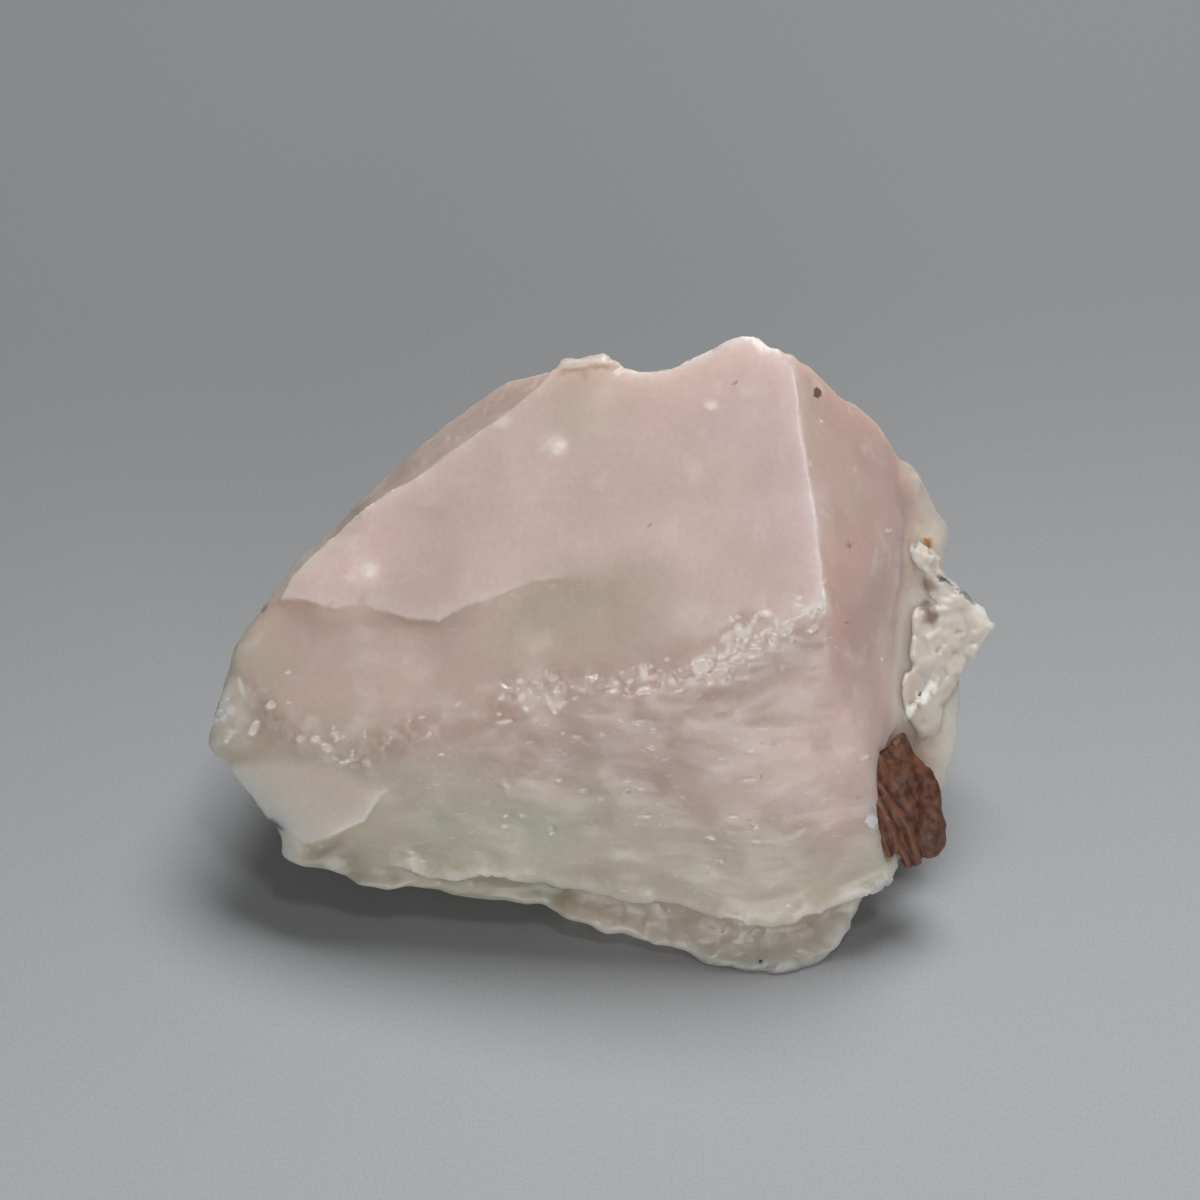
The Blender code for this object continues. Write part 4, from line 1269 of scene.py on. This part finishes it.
def feldspar_tints(points, settings):
    """The colour of the feldspar at each point: white, pinkish next to the beryl, with its marks."""
    veil = swell(points, 0.8, 211, 3)
    ragged = np.stack([swell(points, 0.5, 220 + 7 * axis, 2) for axis in range(3)], axis=1)
    near_mica = ramp(2.8, 0.8, np.linalg.norm(points - (15.6, -4.0, 8.6), axis=1))
    colours = np.tile(np.array(settings.white), (len(points), 1))
    colours = blend(colours, np.maximum(near_mica, 0.5 * ramp(0.1, 0.6, veil)), settings.cream)
    colours = blend(colours, 0.7 * ramp(17.0, 15.8, points[:, 0]), settings.flesh)
    spots = deep_places(points) + 0.15 * ragged
    for name, spot, reach, soft, strength in FELDSPAR_MARKS:
        away = np.linalg.norm(spots - deep_places(spot), axis=1)
        colours = blend(colours, strength * ramp(reach + soft, reach, away), getattr(settings, name))
    return colours * (1.0 + 0.04 * veil)[:, None]


def stone_material(settings):
    look = Look("beryl_finish")
    grit = look.noise(0.30, 3.0)
    jitter = look.vector("SUBTRACT", look.noise(0.3, 0.0, output="Color"), (0.5, 0.5, 0.5))
    jitter = look.vector("SCALE", jitter, Scale=0.4)
    fine_place = look.vector("ADD", look.deep_place(), jitter)
    colour = look.take("ShaderNodeAttribute", "Color", {"attribute_name": "tint"})
    # painted glints: short pale dashes in patches on the front, painted with the bruised white and made a
    # little glossier
    groups = look.noise(3.0, 1.0).rise(0.42, 0.62) * look.measure("front")
    dashes = look.noise(0.24, 1.0, stretch=(0.40, 0.8, 1.0)).rise(0.64, 0.72) * groups
    colour = look.mix(dashes * 0.4, colour, tuple(settings.frost_and_glint))
    # the marks, among them white spots painted as highlights on the top face
    for name, spot, reach, soft, strength in MARKS:
        share = look.near(fine_place, tuple(deep_places(spot)), reach, soft) * strength
        colour = look.mix(share, colour, tuple(getattr(settings, name)))
    colour = look.vector("SCALE", colour, Scale=0.90 + 0.20 * grit)
    rough = 0.36 + 0.10 * grit - 0.10 * look.measure("broken") - 0.18 * look.measure("chipped")
    return look.finish({
        "Base Color": colour,
        "Roughness": rough - 0.12 * dashes,
        "IOR": settings.bend,
        "Subsurface Weight": 1.0,
        "Subsurface Radius": (1.0, 0.75, 0.65),
        "Subsurface Scale": settings.depth,
        "Normal": look.bump(look.noise(0.5, 3.0), 0.3, 0.03),
    })


def feldspar_material(settings):
    look = Look("feldspar_finish")
    veil = look.noise(0.8, 3.0)
    colour = look.take("ShaderNodeAttribute", "Color", {"attribute_name": "tint"})
    fine = look.noise(0.3, 3.0)
    return look.finish({
        "Base Color": colour,
        "Roughness": 0.28 + 0.3 * veil,
        "IOR": settings.bend,
        "Subsurface Weight": 1.0,
        "Subsurface Radius": (1.0, 0.8, 0.7),
        "Subsurface Scale": settings.depth,
        "Normal": look.bump(fine, 0.5, 0.03),
    })


def mica_material(settings):
    look = Look("mica_finish")
    fold = look.measure("fold")
    veil = look.noise(0.5, 4.0)
    # painted shade, mostly in the creases between the leaves, and painted highlight on their ridges
    shade_and_highlight = 0.4 * fold + veil
    colour = look.mix(shade_and_highlight.rise(0.80, 0.40) * 0.95, tuple(settings.brown), tuple(settings.dark))
    colour = look.mix(shade_and_highlight.rise(0.85, 1.1) * 0.7, colour, tuple(settings.tan))
    fine = look.noise(0.2, 3.0)
    return look.finish({
        "Base Color": colour,
        "Roughness": 0.38 + 0.25 * veil,
        "IOR": settings.bend,
        "Subsurface Weight": 0.1,
        "Subsurface Radius": (1.0, 0.4, 0.2),
        "Subsurface Scale": settings.depth,
        "Normal": look.bump(fine, 0.6, 0.04),
    })


# The floor is fully lit up to the near place, and past the far one it is darker by the shade
FLOOR_NEAR = -32.0
FLOOR_FAR = 45.0
FLOOR_FAR_SHADE = 0.55


def floor_material(settings):
    look = Look("floor_finish")
    speckle = look.noise(0.16, 2.0)
    close = (look.y - 0.12 * look.x).rise(FLOOR_FAR, FLOOR_NEAR)
    near = tuple(settings.floor)
    far = tuple(FLOOR_FAR_SHADE * part for part in near)
    colour = look.mix(close, far, near)
    colour = look.vector("SCALE", colour, Scale=0.84 + 0.32 * speckle)
    return look.finish({"Base Color": colour, "Roughness": 0.7})


def lamp(name, place, width, height, power):
    """A soft round lamp that shines at the stone."""
    made = bpy.data.objects.new(name, bpy.data.lights.new(name, "AREA"))
    bpy.context.scene.collection.objects.link(made)
    made.data.shape = "ELLIPSE"
    made.data.size = width * MM
    made.data.size_y = height * MM
    made.data.energy = power
    made.location = place * MM
    made.rotation_mode = "QUATERNION"
    made.rotation_quaternion = (VIEW_AIM - place).to_track_quat("-Z", "Y")


# The lamps: where each stands, its width and its height
LAMPS = {
    "window": ((65.0, 190.0, 360.0), 280.0, 180.0),
    "front": ((60.0, -398.0, 42.0), 260.0, 240.0),
    "glint": (GLINT_LAMP, 45.0, 45.0),
}
FLOOR_WIDTH = 2.0
SKY_COLOUR = (1.0, 0.96, 0.90, 1.0)


class MORGANITE_OT_stage(bpy.types.Operator):
    """Set up the floor, the lights and the camera"""

    bl_idname = "scene.morganite_stage"
    bl_label = "Floor, lights and camera"

    def execute(self, context):
        settings = context.scene.morganite_stage
        scene = context.scene
        bpy.ops.mesh.primitive_plane_add(size=FLOOR_WIDTH, location=(0.0, 0.0, 0.0))
        floor = context.active_object
        floor.name = "floor"
        floor.data.materials.append(floor_material(settings))
        for name, (place, width, height) in LAMPS.items():
            lamp(name, Vector(place), width, height, getattr(settings, name))
        world = bpy.data.worlds.new("soft_sky")
        world.use_nodes = True
        sky = world.node_tree.nodes["Background"]
        sky.inputs["Color"].default_value = SKY_COLOUR
        sky.inputs["Strength"].default_value = settings.sky
        scene.world = world
        camera = bpy.data.objects.new("camera", bpy.data.cameras.new("camera"))
        scene.collection.objects.link(camera)
        camera.data.lens = VIEW_LENS
        camera.data.sensor_width = VIEW_SENSOR
        camera.data.clip_start = MM
        camera.location = camera_place() * MM
        camera.rotation_mode = "QUATERNION"
        camera.rotation_quaternion = (VIEW_AIM - camera_place()).to_track_quat("-Z", "Y")
        scene.camera = camera
        scene.view_settings.view_transform = "Standard"
        return {"FINISHED"}


STEPS = ("mesh.morganite_feldspar", "mesh.morganite_mica", "mesh.morganite_stone", "scene.morganite_stage")


class VIEW3D_PT_morganite(bpy.types.Panel):
    """The pieces of the stone, in the order in which they are made"""

    bl_label = "Morganite"
    bl_space_type = "VIEW_3D"
    bl_region_type = "UI"
    bl_category = "Morganite"

    def draw(self, context):
        for step in STEPS:
            self.layout.operator(step)


SETTINGS = {
    "morganite_stone": StoneSettings,
    "morganite_feldspar": FeldsparSettings,
    "morganite_mica": MicaSettings,
    "morganite_stage": StageSettings,
}
CLASSES = (
    *SETTINGS.values(),
    MORGANITE_OT_feldspar,
    MORGANITE_OT_mica,
    MORGANITE_OT_stone,
    MORGANITE_OT_stage,
    VIEW3D_PT_morganite,
)


def register():
    for kind in CLASSES:
        bpy.utils.register_class(kind)
    for name, kind in SETTINGS.items():
        setattr(bpy.types.Scene, name, PointerProperty(type=kind))


def unregister():
    for name in SETTINGS:
        delattr(bpy.types.Scene, name)
    for kind in reversed(CLASSES):
        bpy.utils.unregister_class(kind)


def main():
    register()
    bpy.ops.mesh.morganite_feldspar()
    bpy.ops.mesh.morganite_mica()
    bpy.ops.mesh.morganite_stone()
    bpy.ops.scene.morganite_stage()


if __name__ == "__main__":
    main()
